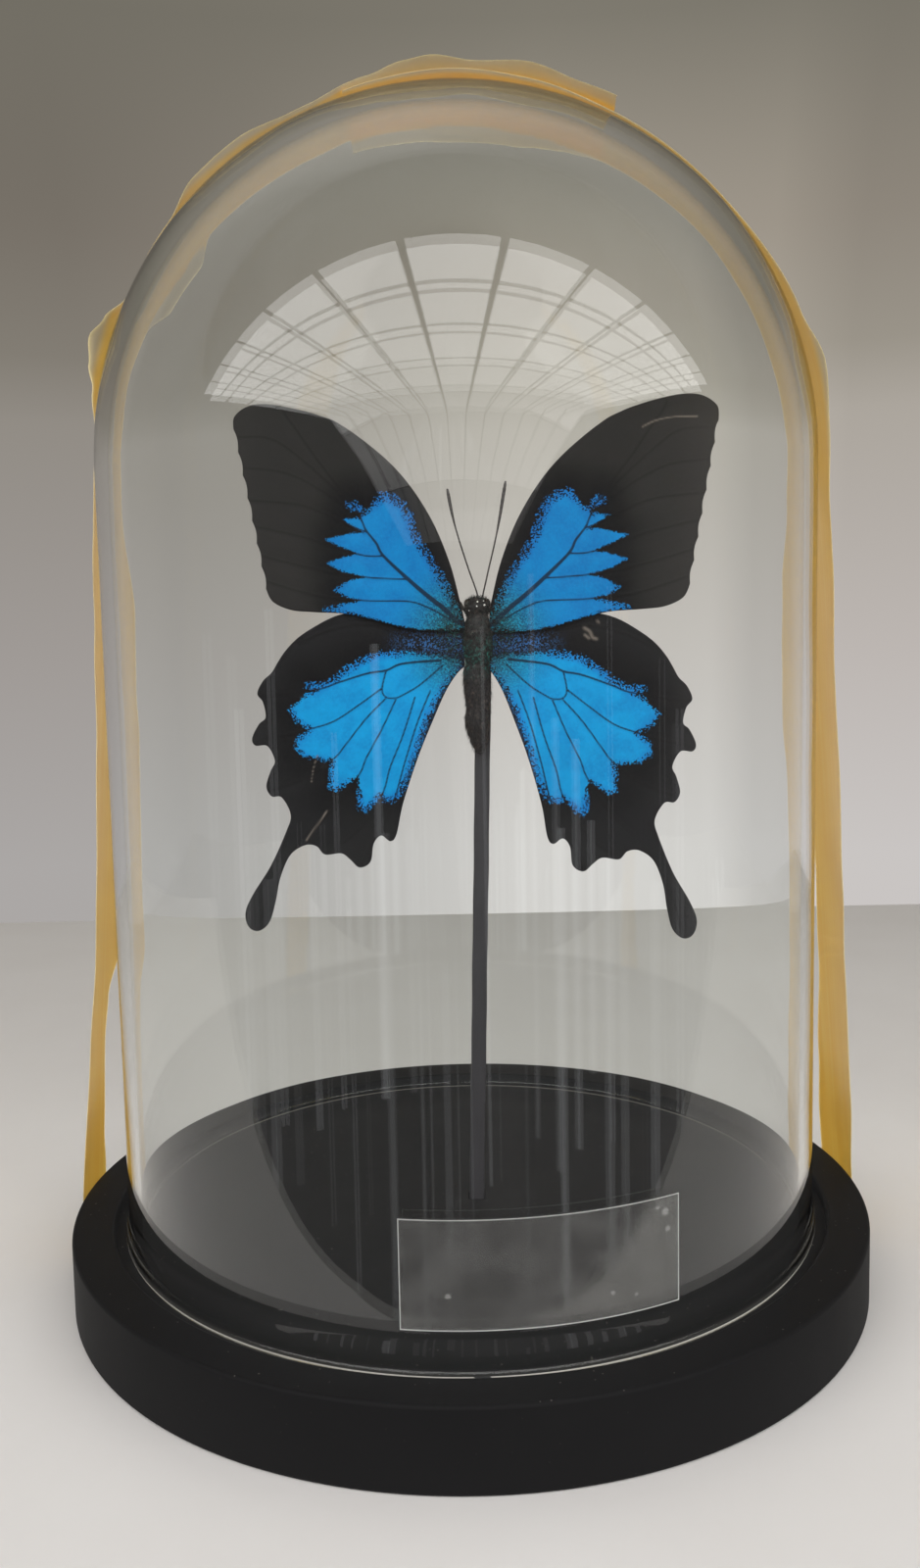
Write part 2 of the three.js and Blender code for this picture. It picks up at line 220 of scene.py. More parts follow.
def signedDistance(points, outline):  # positive inside
    closed = np.vstack([outline, outline[:1]])
    return distanceTo(points, closed) * np.where(inside(points, outline), 1, -1)


def ringFaces(count, sides):  # the faces between rings of points that follow each other
    faces = []
    for i in range(count - 1):
        for k in range(sides):
            a, b = i * sides + k, i * sides + (k + 1) % sides
            faces.append((a, b, b + sides, a + sides))
    return faces


def stacked(name, rings, sharpAngle=None, smooth=True):  # rings with a flat face at each end
    sides = len(rings[0])
    points = [p for ring in rings for p in ring]
    ends = [tuple(reversed(range(sides))), tuple(range(len(points) - sides, len(points)))]
    piece = meshPiece(name, points, ends + ringFaces(len(rings), sides), smooth)
    outwards(piece, sharpAngle)
    return piece


def pointed(name, rings, start, end):  # rings with a point at each end
    sides = len(rings[0])
    points = [p for ring in rings for p in ring] + [start, end]
    faces = ringFaces(len(rings), sides)
    first, last = len(points) - 2, len(points) - 1
    for k in range(sides):
        after = (k + 1) % sides
        faces += [(first, after, k), (last, first - sides + k, first - sides + after)]
    piece = meshPiece(name, points, faces)
    outwards(piece)
    return piece


# a round tube of changing radius, closed by a point at each end
def tube(name, points, radiusAt, sides, perSpan):
    line = smoothLine(points, perSpan)
    steps = len(line) - 1
    tangents = np.gradient(line, axis=0)
    tangents /= np.linalg.norm(tangents, axis=1)[:, None]
    side = np.cross(tangents[0], (0.3, 1, 0.1))
    angles = [math.tau * k / sides for k in range(sides)]
    rings = []
    for i, (centre, tangent) in enumerate(zip(line, tangents)):
        side = side - tangent * (side @ tangent)
        side /= np.linalg.norm(side)
        up = np.cross(tangent, side)
        rings.append([centre + radiusAt(i / steps) * (math.cos(a) * side + math.sin(a) * up) for a in angles])
    return pointed(name, rings, line[0] - tangents[0] * radiusAt(0) * 0.6,
                   line[-1] + tangents[-1] * radiusAt(1) * 0.6)


# camera, light and floor

view = {
    "place": (-0.0023, -0.32205, 0.1558),
    "pitch": 0.1006,  # radians below level
    "yaw": -0.0054,
    "roll": 0.0193,
    "lens": 29.25,
}
studio = {
    "ceilingHeight": 1.05,
    "bays": 13,
    "bayPitch": 0.42,
    "bayGap": 0.035,
    # front edges of the rows of panels, going away from the object, and how bright each row is
    "rowEnds": (-0.5, -0.85, -1.3, -1.9, -2.8, -4.2, -6.5, -10),
    "rowLevels": (1, 1, 1, 0.85, 0.5, 0.25, 0.1),
    "radiance": 3.0,
    "barCount": 44,  # upright strips of light in front, which draw fine streaks on the glass
    "barSpread": 84,  # degrees to each side
    "barDistance": 1.6,
    "barHeights": (-0.55, -0.1),
    "barWidths": (0.006, 0.06),
    "barLengths": (0.2, 0.8),
    "barRadiance": 0.65,
    # the air's colour from below to above
    "airTones": ((0, "#BFBBB9"), (0.13, "#B3ADA9"), (0.22, "#A9A39D"), (0.28, "#A39D95"),
                 (0.32, "#928C82"), (0.39, "#867F75"), (0.5, "#767268"), (0.61, "#7D786E"),
                 (0.74, "#88837A"), (1, "#A8A298")),
    # its brightness from left to right: brightest behind the glass, a little to the right
    "airLevels": ((0.08, 0.78), (0.25, 0.98), (0.45, 1.26), (0.62, 1.5), (0.8, 1.42), (0.89, 1.4),
                  (0.95, 1.12)),
    "frontLevel": 0.22,  # dim in front, so the glass mirrors little
    "table": (-640, 640, -134, 440),  # left, right, front and back edges, in millimetres
    "tableRound": 30,
    "tableBevel": 1.5,
    "tableThickness": 22,
    "tableGap": 0.02,  # between the tabletop and the base's underside
}


def makeCamera():
    data = bpy.data.cameras.new("frontView")
    data.sensor_width = 36
    data.lens = view["lens"]
    data.clip_start = 0.01
    camera = bpy.data.objects.new("frontView", data)
    scene.collection.objects.link(camera)
    turn = (Matrix.Rotation(view["yaw"], 4, "Z") @ Matrix.Rotation(-view["pitch"], 4, "X")
            @ Matrix.Rotation(view["roll"], 4, "Y") @ Matrix.Rotation(math.pi / 2, 4, "X"))
    camera.matrix_world = Matrix.Translation(view["place"]) @ turn
    scene.camera = camera


def makePanel(name, size, place, radiance, colour, target=None):  # a soft panel, facing down or to a target
    data = bpy.data.lights.new(name, "AREA")
    data.shape = "RECTANGLE"
    data.size, data.size_y = size
    data.energy = radiance * math.pi * size[0] * size[1]
    data.color = srgb(colour)[:3]
    light = bpy.data.objects.new(name, data)
    scene.collection.objects.link(light)
    light.location = place
    if target:
        light.rotation_euler = (Vector(target) - Vector(place)).to_track_quat("-Z", "Y").to_euler()
    light.visible_camera = False


def makeLamps():
    gap, ends = studio["bayGap"], studio["rowEnds"]
    for i in range(studio["bays"]):
        x = (i - (studio["bays"] - 1) / 2) * studio["bayPitch"]
        for j, (near, far) in enumerate(zip(ends, ends[1:])):
            makePanel(f"ceilingPanel{i}_{j}", (studio["bayPitch"] - gap, near - far - gap),
                      (x, (near + far) / 2, studio["ceilingHeight"]),
                      studio["radiance"] * studio["rowLevels"][j], "#FFFDFC")
    chance = random.Random(4)
    spread = studio["barSpread"]
    for i in range(studio["barCount"]):
        share = (i + chance.uniform(-0.4, 0.4)) / (studio["barCount"] - 1)
        angle = math.radians(-spread + 2 * spread * share)
        place = Vector((math.sin(angle), -math.cos(angle), 0)) * studio["barDistance"]
        place.z = chance.uniform(*studio["barHeights"])
        size = (chance.uniform(*studio["barWidths"]), chance.uniform(*studio["barLengths"]))
        makePanel(f"uprightBar{i}", size, place, studio["barRadiance"] * chance.uniform(0.2, 1), "#F4F6FA",
                  (0, 0, place.z))


def makeAir():
    world = bpy.data.worlds.new("studioAir")
    scene.world = world
    world.use_nodes = True
    tree = world.node_tree
    sky = add(tree, "ShaderNodeSeparateXYZ", {0: add(tree, "ShaderNodeTexCoord", None, "Generated")}).outputs
    height = add(tree, "ShaderNodeMapRange", {0: sky["Z"], 1: -0.15, 2: 1}, 0)
    shade = add(tree, "ShaderNodeValToRGB", {0: height})
    fillRamp(shade, [(place, srgb(tone)) for place, tone in studio["airTones"]])
    sideways = add(tree, "ShaderNodeMapRange", {0: sky["X"], 1: -0.4, 2: 0.4}, 0, **smoothly)
    across = add(tree, "ShaderNodeValToRGB", {0: sideways})
    fillRamp(across, [(place, (level, level, level, 1)) for place, level in studio["airLevels"]])
    high = add(tree, "ShaderNodeMapRange", {0: sky["Z"], 1: 0.3, 2: 0.5}, 0, **smoothly)
    level = add(tree, "ShaderNodeMix", {0: high, 6: across.outputs[0], 7: (1, 1, 1, 1)}, 2, **inColour)
    behind = add(tree, "ShaderNodeMapRange",
                 {0: sky["Y"], 1: -0.6, 2: 0.3, 3: studio["frontLevel"], 4: 1}, 0, **smoothly)
    lit = add(tree, "ShaderNodeMath", {0: level, 1: behind}, 0, **times)
    air = add(tree, "ShaderNodeMix", {0: 1, 6: shade.outputs[0], 7: lit}, 2, blend_type="MULTIPLY",
              **inColour)
    feed(tree, tree.nodes["Background"], {0: air})


def paleLaminate():  # matt melamine, faintly mottled
    material, tree, shader = newMaterial("paleTabletopLaminate")
    place = add(tree, "ShaderNodeTexCoord", None, "Object")
    mottle = add(tree, "ShaderNodeTexNoise", {"Vector": place, "Scale": grain(60), "Detail": 3}, "Fac")
    colour = add(tree, "ShaderNodeMix", {0: mottle, 6: srgb("#DFDDDB"), 7: srgb("#E7E6E5")}, 2, **inColour)
    feed(tree, shader, {"Base Color": colour, "Roughness": 0.62})
    return material


def makeTable():
    left, right, front, back = studio["table"]
    corner, bevel = studio["tableRound"], studio["tableBevel"]
    outline = [*arc(right - corner, front + corner, corner, -90, 0, 8),
               *arc(right - corner, back - corner, corner, 0, 90, 8),
               *arc(left + corner, back - corner, corner, 90, 180, 8),
               *arc(left + corner, front + corner, corner, 180, 270, 8)]
    middle = np.array(((left + right) / 2, (front + back) / 2))
    inner = [tuple(np.array(p) + (middle - p) * bevel / np.linalg.norm(middle - p)) for p in outline]
    levels = ((outline, -studio["tableThickness"]), (outline, -bevel), (inner, -studio["tableGap"]))
    floor = stacked("tabletop", [[(x, y, z) for x, y in line] for line, z in levels], smooth=False)
    floor.data.materials.append(paleLaminate())


# base: satin black paint over fibreboard

base = {
    "radius": 100,
    "height": 18,
    "recessRadius": 90,
    "recessDepth": 3,
    "edgeRound": 0.9,
    "segments": 256,
}
floorHeight = base["height"] - base["recessDepth"]
stem = {
    "width": 3.8,
    "footX": 1.8,
    "lean": 0.03,
    "top": 157,
    "bottom": 9.3,
    "socketWidth": 4.4,
    "socketBottom": 9,
    "centreY": 0.2,
    "cornerRound": 0.45,
}


def paintedFibreboard():  # sprayed satin lacquer: soft wide highlight, fine orange peel, settled dust
    material, tree, shader = newMaterial("satinBlackLacquer")
    place = add(tree, "ShaderNodeTexCoord", None, "Object")
    cloud = add(tree, "ShaderNodeTexNoise",
                {"Vector": place, "Scale": grain(35), "Detail": 4, "Roughness": 0.6}, "Fac")
    cells = add(tree, "ShaderNodeTexVoronoi", {"Vector": place, "Scale": grain(2.6)}, "Distance")
    dustSize = add(tree, "ShaderNodeTexNoise", {"Vector": place, "Scale": grain(9), "Detail": 2}, "Fac")
    speckRadius = add(tree, "ShaderNodeMath", {0: dustSize, 1: 0.13}, 0, **times)
    speck = add(tree, "ShaderNodeMath", {0: cells, 1: speckRadius}, 0, operation="LESS_THAN")
    facing = add(tree, "ShaderNodeSeparateXYZ", {0: add(tree, "ShaderNodeNewGeometry", None, "Normal")}, "Z")
    lying = add(tree, "ShaderNodeMapRange", {0: facing, 1: 0.3, 2: 0.9, 3: 0.12, 4: 1}, 0, **smoothly)
    dust = add(tree, "ShaderNodeMath", {0: speck, 1: lying}, 0, **times)
    greyed = add(tree, "ShaderNodeMath", {0: dust, 1: 0.32}, 0, **times)
    colour = srgb("#141415")
    for share, tone in ((cloud, "#1B1B1C"), (greyed, "#8F8B85")):
        colour = add(tree, "ShaderNodeMix", {0: share, 6: colour, 7: srgb(tone)}, 2, **inColour)
    satin = add(tree, "ShaderNodeMapRange", {0: cloud, 1: 0.2, 2: 0.8, 3: 0.56, 4: 0.66}, 0, **smoothly)
    dulled = add(tree, "ShaderNodeMath", {0: dust, 1: 0.3}, 0, **times)
    roughness = add(tree, "ShaderNodeMath", {0: satin, 1: dulled}, 0, **plus)
    peel = add(tree, "ShaderNodeTexNoise", {"Vector": place, "Scale": grain(0.9), "Detail": 2}, "Fac")
    relief = add(tree, "ShaderNodeBump", {"Height": peel, "Distance": 0.02 / 1000, "Strength": 0.5}, 0)
    feed(tree, shader, {"Base Color": colour, "Roughness": roughness, "Specular IOR Level": 0.1,
                        "Normal": relief})
    return material


def stickRings(width, low, high, steps, cornerRound, cornerSteps):
    half = width / 2 - cornerRound
    section = []
    for cornerX, cornerY, start in ((1, 1, 0), (-1, 1, 90), (-1, -1, 180), (1, -1, 270)):
        section += arc(cornerX * half, cornerY * half, cornerRound, start, start + 90, cornerSteps)
    rings = []
    for i in range(steps + 1):
        z = low + (high - low) * i / steps
        x = stem["footX"] + stem["lean"] * (z - floorHeight)
        rings.append([(x + px, stem["centreY"] + py, z) for px, py in section])
    return rings


def makeBase():
    r, h, inner, edge = base["radius"], base["height"], base["recessRadius"], base["edgeRound"]
    disc = turned("turned_base", [
        (0, 0), *arc(r - edge, edge, edge, -90, 0, 6),
        *arc(r - edge, h - edge, edge, 0, 90, 8),
        *arc(inner + edge, h - edge, edge, 90, 180, 8),
        (inner, floorHeight + 0.5), (inner - 0.15, floorHeight + 0.15), (inner - 0.5, floorHeight),
        (inner * 0.75, floorHeight), (inner * 0.4, floorHeight), (8, floorHeight), (0, floorHeight),
    ], base["segments"])
    socket = stacked("socketCutter", stickRings(stem["socketWidth"], stem["socketBottom"], floorHeight + 2, 1,
                                                0.2, 2), 50)
    cut = disc.modifiers.new("socket", "BOOLEAN")
    cut.operation, cut.object, cut.solver = "DIFFERENCE", socket, "EXACT"
    bakeModifiers(disc)
    bpy.data.objects.remove(socket)
    disc.data.set_sharp_from_angle(angle=math.radians(40))
    finishPiece(disc, paintedFibreboard(), ["base"])


def stainedStick():  # black-stained pine strip: open lengthwise grain, nearly matt
    material, tree, shader = newMaterial("blackStainedPine")
    place = add(tree, "ShaderNodeTexCoord", None, "Object")
    along = add(tree, "ShaderNodeMapping", {"Vector": place, "Scale": (1, 1, 0.04)}, 0)
    fibres = add(tree, "ShaderNodeTexNoise",
                 {"Vector": along, "Scale": grain(0.5), "Detail": 3, "Roughness": 0.6}, "Fac")
    colour = add(tree, "ShaderNodeMix", {0: fibres, 6: srgb("#171619"), 7: srgb("#27252A")}, 2, **inColour)
    relief = add(tree, "ShaderNodeBump", {"Height": fibres, "Distance": 0.08 / 1000, "Strength": 0.6}, 0)
    feed(tree, shader, {"Base Color": colour, "Roughness": 0.6, "Normal": relief})
    return material


def makeStem():
    rings = stickRings(stem["width"], stem["bottom"], stem["top"], 74, stem["cornerRound"], 3)
    for i, ring in enumerate(rings):  # a split strip is never quite straight
        wave = 0.04 * math.sin(i * 0.71) + 0.03 * math.sin(i * 0.29 + 1)
        rings[i] = [(x + wave, y + wave * 0.6, z) for x, y, z in ring]
    finishPiece(stacked("stick", rings, 50), stainedStick(), ["stem"])


# dome

dome = {
    "radius": 86.5,
    "wall": 3,
    "crownExtra": 0.6,
    "centreHeight": 200,
    "footRadius": 87.4,
    "footHeight": 9,
    "rimRound": 1.6,
    "segments": 288,
    "arcSteps": 90,
}


# blown soda-lime glass: mirror smooth, faintly green along the wall
def clearGlass():
    material, tree, shader = newMaterial("sodaLimeGlass")
    feed(tree, shader, {"Base Color": srgb("#FCFEFD"), "Roughness": 0, "IOR": 1.5, "Transmission Weight": 1})
    return material


def makeDome():
    r, wall, centre = dome["radius"], dome["wall"], dome["centreHeight"]
    foot, rim = dome["footRadius"], dome["rimRound"]
    rimCentre, footTop = floorHeight + rim, floorHeight + dome["footHeight"]

    def flare(low, high):  # the foot narrows to the wall over its height
        return [(low + (high - low) * (t * t * (3 - 2 * t)), rimCentre + (footTop - rimCentre) * t)
                for t in (k / 8 for k in range(1, 9))]

    sides = [footTop + (centre - footTop) * k / 20 for k in range(1, 20)]
    profile = [
        *arc(foot - rim, rimCentre, rim, -180, 0, 20), *flare(foot, r),
        *[(r, z) for z in sides],
        *arc(0, centre, r, 0, 90, dome["arcSteps"]),
        *arc(0, centre - dome["crownExtra"], r - wall, 90, 0, dome["arcSteps"]),
        *[(r - wall, z) for z in reversed(sides)],
        *reversed(flare(foot - 2 * rim, r - wall)),
    ]
    profile = [(max(radius, 0), z) for radius, z in profile]
    piece = turned("blown_dome", profile, dome["segments"], None)
    piece.visible_shadow = False  # the lamps light the insect straight through the glass
    finishPiece(piece, clearGlass(), ["glass_dome"])


# insect: the body

insect = {
    "x": 4.5,
    "y": -5.6,
    "z": 160,
    "bodySides": 48,
    "depthShare": 0.97,
}
# (height from the thorax's middle, half width, sideways shift)
bodyStations = [
    (-28.4, 0.0, -0.1), (-28.1, 0.7, -0.1), (-27.4, 1.15, -0.1), (-26.4, 1.6, -0.15),
    (-25.3, 2.0, -0.2), (-23.6, 2.45, -0.3), (-21.8, 2.75, -0.5), (-20, 2.85, -0.6), (-18, 2.8, -0.3),
    (-16, 2.9, -0.2), (-13.5, 3.1, -0.3), (-11, 3.2, -0.4), (-9, 3.1, -0.5), (-7.4, 2.9, -0.5),
    (-6.2, 2.75, -0.3), (-5, 3.05, -0.1), (-3.4, 3.4, 0), (-1, 3.55, 0), (1.5, 3.45, 0), (3.4, 3.15, 0),
    (5, 2.6, 0), (5.8, 2.45, 0), (6.6, 2.8, 0), (7.4, 3.05, 0), (8.1, 2.95, 0), (8.7, 2.6, 0),
    (9.2, 2.05, 0), (9.55, 1.25, 0), (9.75, 0.0, 0),
]
# bristles: how many on a square millimetre, and their sizes in millimetres
bodyHair = {"density": 17, "length": 1.2, "thickness": 0.09, "lift": 0.4, "spread": 0.55, "seed": 3}
rootHair = {"density": 9, "length": 1.5, "thickness": 0.09, "lift": 0.25, "spread": 0.35, "seed": 11}
abdomenDensity = 12


# chitin bristles: dark brown, with green structural colour low on the thorax and at the wing roots
def hairCover():
    material, tree, shader = newMaterial("darkBristles")
    place = add(tree, "ShaderNodeTexCoord", None, "Object")
    greenShare = add(tree, "ShaderNodeAttribute", None, "Fac", attribute_name="greenShare")
    coats = []
    for width, low, high, dark, pale in ((0.9, 0.5, 0.72, "#060505", "#62504A"),
                                         (0.8, 0.48, 0.66, "#07120F", "#2F8278")):
        strand = add(tree, "ShaderNodeTexNoise", {"Vector": place, "Scale": grain(width), "Detail": 2}, "Fac")
        share = add(tree, "ShaderNodeMapRange", {0: strand, 1: low, 2: high}, 0, **smoothly)
        coats.append(add(tree, "ShaderNodeMix", {0: share, 6: srgb(dark), 7: srgb(pale)}, 2, **inColour))
    colour = add(tree, "ShaderNodeMix", {0: greenShare, 6: coats[0], 7: coats[1]}, 2, **inColour)
    feed(tree, shader, {"Base Color": colour, "Roughness": 0.5, "Specular IOR Level": 0.15})
    return material


def bodySkin():  # hardened cuticle under the bristles: black-brown, faintly ringed
    material, tree, shader = newMaterial("blackCuticle")
    place = add(tree, "ShaderNodeTexCoord", None, "Object")
    ringScale = 100 * math.pi / 2.333  # rings 2.333 mm apart
    rings = add(tree, "ShaderNodeTexWave", {"Vector": place, "Scale": ringScale, "Distortion": 1.2}, "Fac",
                wave_type="BANDS", bands_direction="Z")
    faint = add(tree, "ShaderNodeMath", {0: rings, 1: 0.25}, 0, **times)
    patch = add(tree, "ShaderNodeTexNoise", {"Vector": place, "Scale": grain(0.8), "Detail": 3}, "Fac")
    colour = srgb("#0D0B0B")
    for share, tone in ((patch, "#1E1B1A"), (faint, "#282423")):
        colour = add(tree, "ShaderNodeMix", {0: share, 6: colour, 7: srgb(tone)}, 2, **inColour)
    relief = add(tree, "ShaderNodeBump", {"Height": patch, "Distance": 0.25 / 1000, "Strength": 0.7}, 0)
    feed(tree, shader, {"Base Color": colour, "Roughness": 0.55, "Normal": relief})
    return material


def hairTree():
    tree = bpy.data.node_groups.new("scatterHair", "GeometryNodeTree")
    for direction, name, kind in (("INPUT", "Geometry", "Geometry"), ("INPUT", "Density", "Float"),
                                  ("INPUT", "Length", "Float"), ("INPUT", "Root Radius", "Float"),
                                  ("INPUT", "Lift", "Float"), ("INPUT", "Spread", "Float"),
                                  ("INPUT", "Seed", "Int"), ("INPUT", "Material", "Material"),
                                  ("OUTPUT", "Geometry", "Geometry")):
        tree.interface.new_socket(name, in_out=direction, socket_type=f"NodeSocket{kind}")
    given = add(tree, "NodeGroupInput").outputs
    share = add(tree, "GeometryNodeInputNamedAttribute", {"Name": "hairShare"}, 0, data_type="FLOAT")
    flow = add(tree, "GeometryNodeInputNamedAttribute", {"Name": "hairFlow"}, 0, data_type="FLOAT_VECTOR")
    density = add(tree, "ShaderNodeMath", {0: given["Density"], 1: share}, 0, **times)
    points = add(tree, "GeometryNodeDistributePointsOnFaces",
                 {"Mesh": given["Geometry"], "Density": density, "Seed": given["Seed"]}).outputs
    lifted = add(tree, "ShaderNodeVectorMath", {0: points["Normal"], "Scale": given["Lift"]}, 0,
                 operation="SCALE")
    loose = add(tree, "FunctionNodeRandomValue", {0: (-1, -1, -1), 1: (1, 1, 1), "Seed": given["Seed"]}, 0,
                data_type="FLOAT_VECTOR")
    strayed = add(tree, "ShaderNodeVectorMath", {0: loose, "Scale": given["Spread"]}, 0, operation="SCALE")
    lean = add(tree, "ShaderNodeVectorMath", {0: flow, 1: lifted}, 0, **plus)
    lean = add(tree, "ShaderNodeVectorMath", {0: lean, 1: strayed}, 0, **plus)
    turn = add(tree, "FunctionNodeAlignRotationToVector", {"Vector": lean}, 0, axis="Z")
    bristle = add(tree, "GeometryNodeMeshCone",
                  {"Vertices": 3, "Radius Top": 0, "Radius Bottom": given["Root Radius"],
                   "Depth": given["Length"]}, "Mesh")
    size = add(tree, "FunctionNodeRandomValue", {2: 0.55, 3: 1.2, "Seed": given["Seed"]}, 1,
               data_type="FLOAT")
    grown = add(tree, "GeometryNodeInstanceOnPoints",
                {"Points": points["Points"], "Instance": bristle, "Rotation": turn, "Scale": size}, 0)
    real = add(tree, "GeometryNodeRealizeInstances", {"Geometry": grown}, 0)
    coated = add(tree, "GeometryNodeSetMaterial", {"Geometry": real, "Material": given["Material"]}, 0)
    add(tree, "NodeGroupOutput", {"Geometry": coated})
    return tree


def growHair(name, source, tree, material, spec):
    piece = bpy.data.objects.new(name, source.data.copy())
    scene.collection.objects.link(piece)
    grow = piece.modifiers.new("hair", "NODES")
    grow.node_group = tree
    values = {"Density": spec["density"] * 1e6, "Length": spec["length"] / 1000,
              "Root Radius": spec["thickness"] / 2000, "Lift": spec["lift"], "Spread": spec["spread"],
              "Seed": spec["seed"], "Material": material}
    for socket in tree.interface.items_tree:
        if socket.in_out == "INPUT" and socket.name in values:
            grow[socket.identifier] = values[socket.name]
    bakeModifiers(piece)
    finishPiece(piece, material)
    print(name, len(piece.data.polygons), "faces")


def setFlow(piece, directions):
    made = piece.data.attributes.new("hairFlow", "FLOAT_VECTOR", "POINT")
    made.data.foreach_set("vector", np.asarray(directions, np.float32).ravel())


def makeBody(tree, bristles):
    fine = smoothLine(bodyStations, 3)
    sides = insect["bodySides"]
    rings = []
    for height, half, shift in fine[1:-1]:
        rough = 0.06 * math.sin(height * 5.1) + 0.04 * math.sin(height * 9.7)
        ring = []
        for k in range(sides):
            angle = math.tau * k / sides
            lump = 0.05 * math.sin(3 * angle + height * 1.7) + 0.04 * math.sin(5 * angle - height * 2.3)
            radius = max(half + rough * 0.6 + lump, 0.15)
            ring.append((insect["x"] + shift + radius * math.cos(angle),
                         insect["y"] + radius * insect["depthShare"] * math.sin(angle),
                         insect["z"] + height))
        rings.append(ring)
    tips = [(insect["x"] + shift, insect["y"], insect["z"] + height) for height, _, shift in fine[[0, -1]]]
    piece = pointed("head_thorax_abdomen", rings, *tips)
    height = np.array([p[2] for ring in rings for p in ring] + [tip[2] for tip in tips]) - insect["z"]
    thoraxShare = smoothStep(height, -12, -4)
    setAttribute(piece, "hairShare",
                 thoraxShare + (1 - thoraxShare) * abdomenDensity / bodyHair["density"])
    lowThorax = smoothStep(height, -11, -5) * (1 - smoothStep(height, -4, 2.5))
    setAttribute(piece, "greenShare", 0.75 * lowThorax + 0.12 * smoothStep(height, -11, -5))
    forward = smoothStep(height, 6, 9)[:, None]
    setFlow(piece, (1 - forward) * np.array((0, 0, -1.0)) + forward * np.array((0, -0.2, 0.5)))
    growHair("body_hair", piece, tree, bristles, bodyHair)
    finishPiece(piece, bodySkin(), ["insect_body"])


def compoundEye():  # faceted cornea: glossy black-brown
    material, tree, shader = newMaterial("facetedCornea")
    place = add(tree, "ShaderNodeTexCoord", None, "Object")
    cells = add(tree, "ShaderNodeTexVoronoi", {"Vector": place, "Scale": grain(0.16)}, "Distance")
    colour = add(tree, "ShaderNodeMix", {0: cells, 6: srgb("#1B1512"), 7: srgb("#0B0908")}, 2, **inColour)
    relief = add(tree, "ShaderNodeBump", {"Height": cells, "Distance": 0.04 / 1000, "Strength": 0.6}, 0)
    feed(tree, shader, {"Base Color": colour, "Roughness": 0.22, "Normal": relief})
    return material


def whiteScales():  # tufts of unpigmented scales
    material, tree, shader = newMaterial("whiteScaleTufts")
    place = add(tree, "ShaderNodeTexCoord", None, "Object")
    tuft = add(tree, "ShaderNodeTexNoise", {"Vector": place, "Scale": grain(0.15), "Detail": 1}, "Fac")
    colour = add(tree, "ShaderNodeMix", {0: tuft, 6: srgb("#BDB9B2"), 7: srgb("#F1EFEA")}, 2, **inColour)
    feed(tree, shader, {"Base Color": colour, "Roughness": 0.8})
    return material


# balls: (centre, radii) of each, in the insect's own axes
def balls(name, places, material, rings=14, segments=22):
    work = bmesh.new()
    for centre, radii in places:
        shift = Matrix.Translation([(centre[i] + insect["xyz"[i]]) / 1000 for i in range(3)])
        size = Matrix.Diagonal([*[r / 1000 for r in radii], 1])
        bmesh.ops.create_uvsphere(work, u_segments=segments, v_segments=rings, radius=1,
                                  matrix=shift @ size)
    piece = meshPiece(name, [], [])
    work.to_mesh(piece.data)
    work.free()
    piece.data.shade_smooth()
    finishPiece(piece, material)


eyePlaces = [((side * 2.35, -0.5, 8.2), (0.95, 1.5, 1.35)) for side in (-1, 1)]
headDots = [((0.0, -2.9, 8.7), 0.2), ((-0.2, -3.5, 7.6), 0.19), ((1.7, -2.9, 7.85), 0.25),
            ((1.5, -2.3, 8.9), 0.14), ((-2.1, -2.7, 6.6), 0.13)]


# insect: antennae and legs

antennaLines = {
    "left_antenna": [(0.25, 9.3), (-0.1, 11.2), (-1.0, 13.9), (-2.1, 17.1), (-4.2, 23.9), (-5.7, 29.8),
                     (-6.8, 36)],
    "right_antenna": [(1.2, 9.3), (1.55, 11), (2.2, 13.6), (2.9, 16.5), (4.4, 22.4), (5.7, 28.3),
                      (7.4, 37.6)],
}
antenna = {"y": -0.4, "thin": 0.2, "club": 0.42, "tipTaper": 0.15, "segments": 46}
legLines = {
    "front": [(1.4, 3.7, 5.2), (3.4, 5.2, 7.4), (4.2, 6.6, 9), (2.6, 7.2, 6.2), (1.6, 7.6, 3.6)],
    "middle": [(2.9, 3.2, 1), (4.9, 4.6, 2.6), (6, 6, 3.4), (5.4, 7.4, 0.4), (4.4, 8.4, -2.6)],
    "hind": [(3.2, 2.9, -3), (4.8, 3.6, -2.2), (6.4, 5, -2.4), (5.8, 7, -4.6), (5.2, 8.2, -6.4)],
}
# joints: how far along the leg they are, and jointLength: how far their swelling reaches
leg = {"thick": 0.46, "taper": 0.3, "joints": (0.28, 0.55, 0.8), "jointLength": 0.025, "jointSwell": 0.28}


def satinChitin():  # bare chitin of limbs and feelers: dark brown, low sheen, faintly clouded
    material, tree, shader = newMaterial("satinChitin")
    place = add(tree, "ShaderNodeTexCoord", None, "Object")
    cloud = add(tree, "ShaderNodeTexNoise", {"Vector": place, "Scale": grain(0.6), "Detail": 2}, "Fac")
    colour = add(tree, "ShaderNodeMix", {0: cloud, 6: srgb("#1A1614"), 7: srgb("#2D2724")}, 2, **inColour)
    feed(tree, shader, {"Base Color": colour, "Roughness": 0.42})
    return material


def feelerRadius(t):  # t runs from the root to the tip
    swell = (antenna["club"] - antenna["thin"]) * smoothStep(t, 0.72, 0.93)
    ring = 1 + 0.07 * math.cos(t * antenna["segments"] * math.tau)
    return (antenna["thin"] + swell - antenna["tipTaper"] * smoothStep(t, 0.95, 1)) * ring


def legRadius(t):
    knuckle = sum(math.exp(-((t - place) / leg["jointLength"]) ** 2) for place in leg["joints"])
    return (leg["thick"] - leg["taper"] * t) * (1 + leg["jointSwell"] * knuckle)


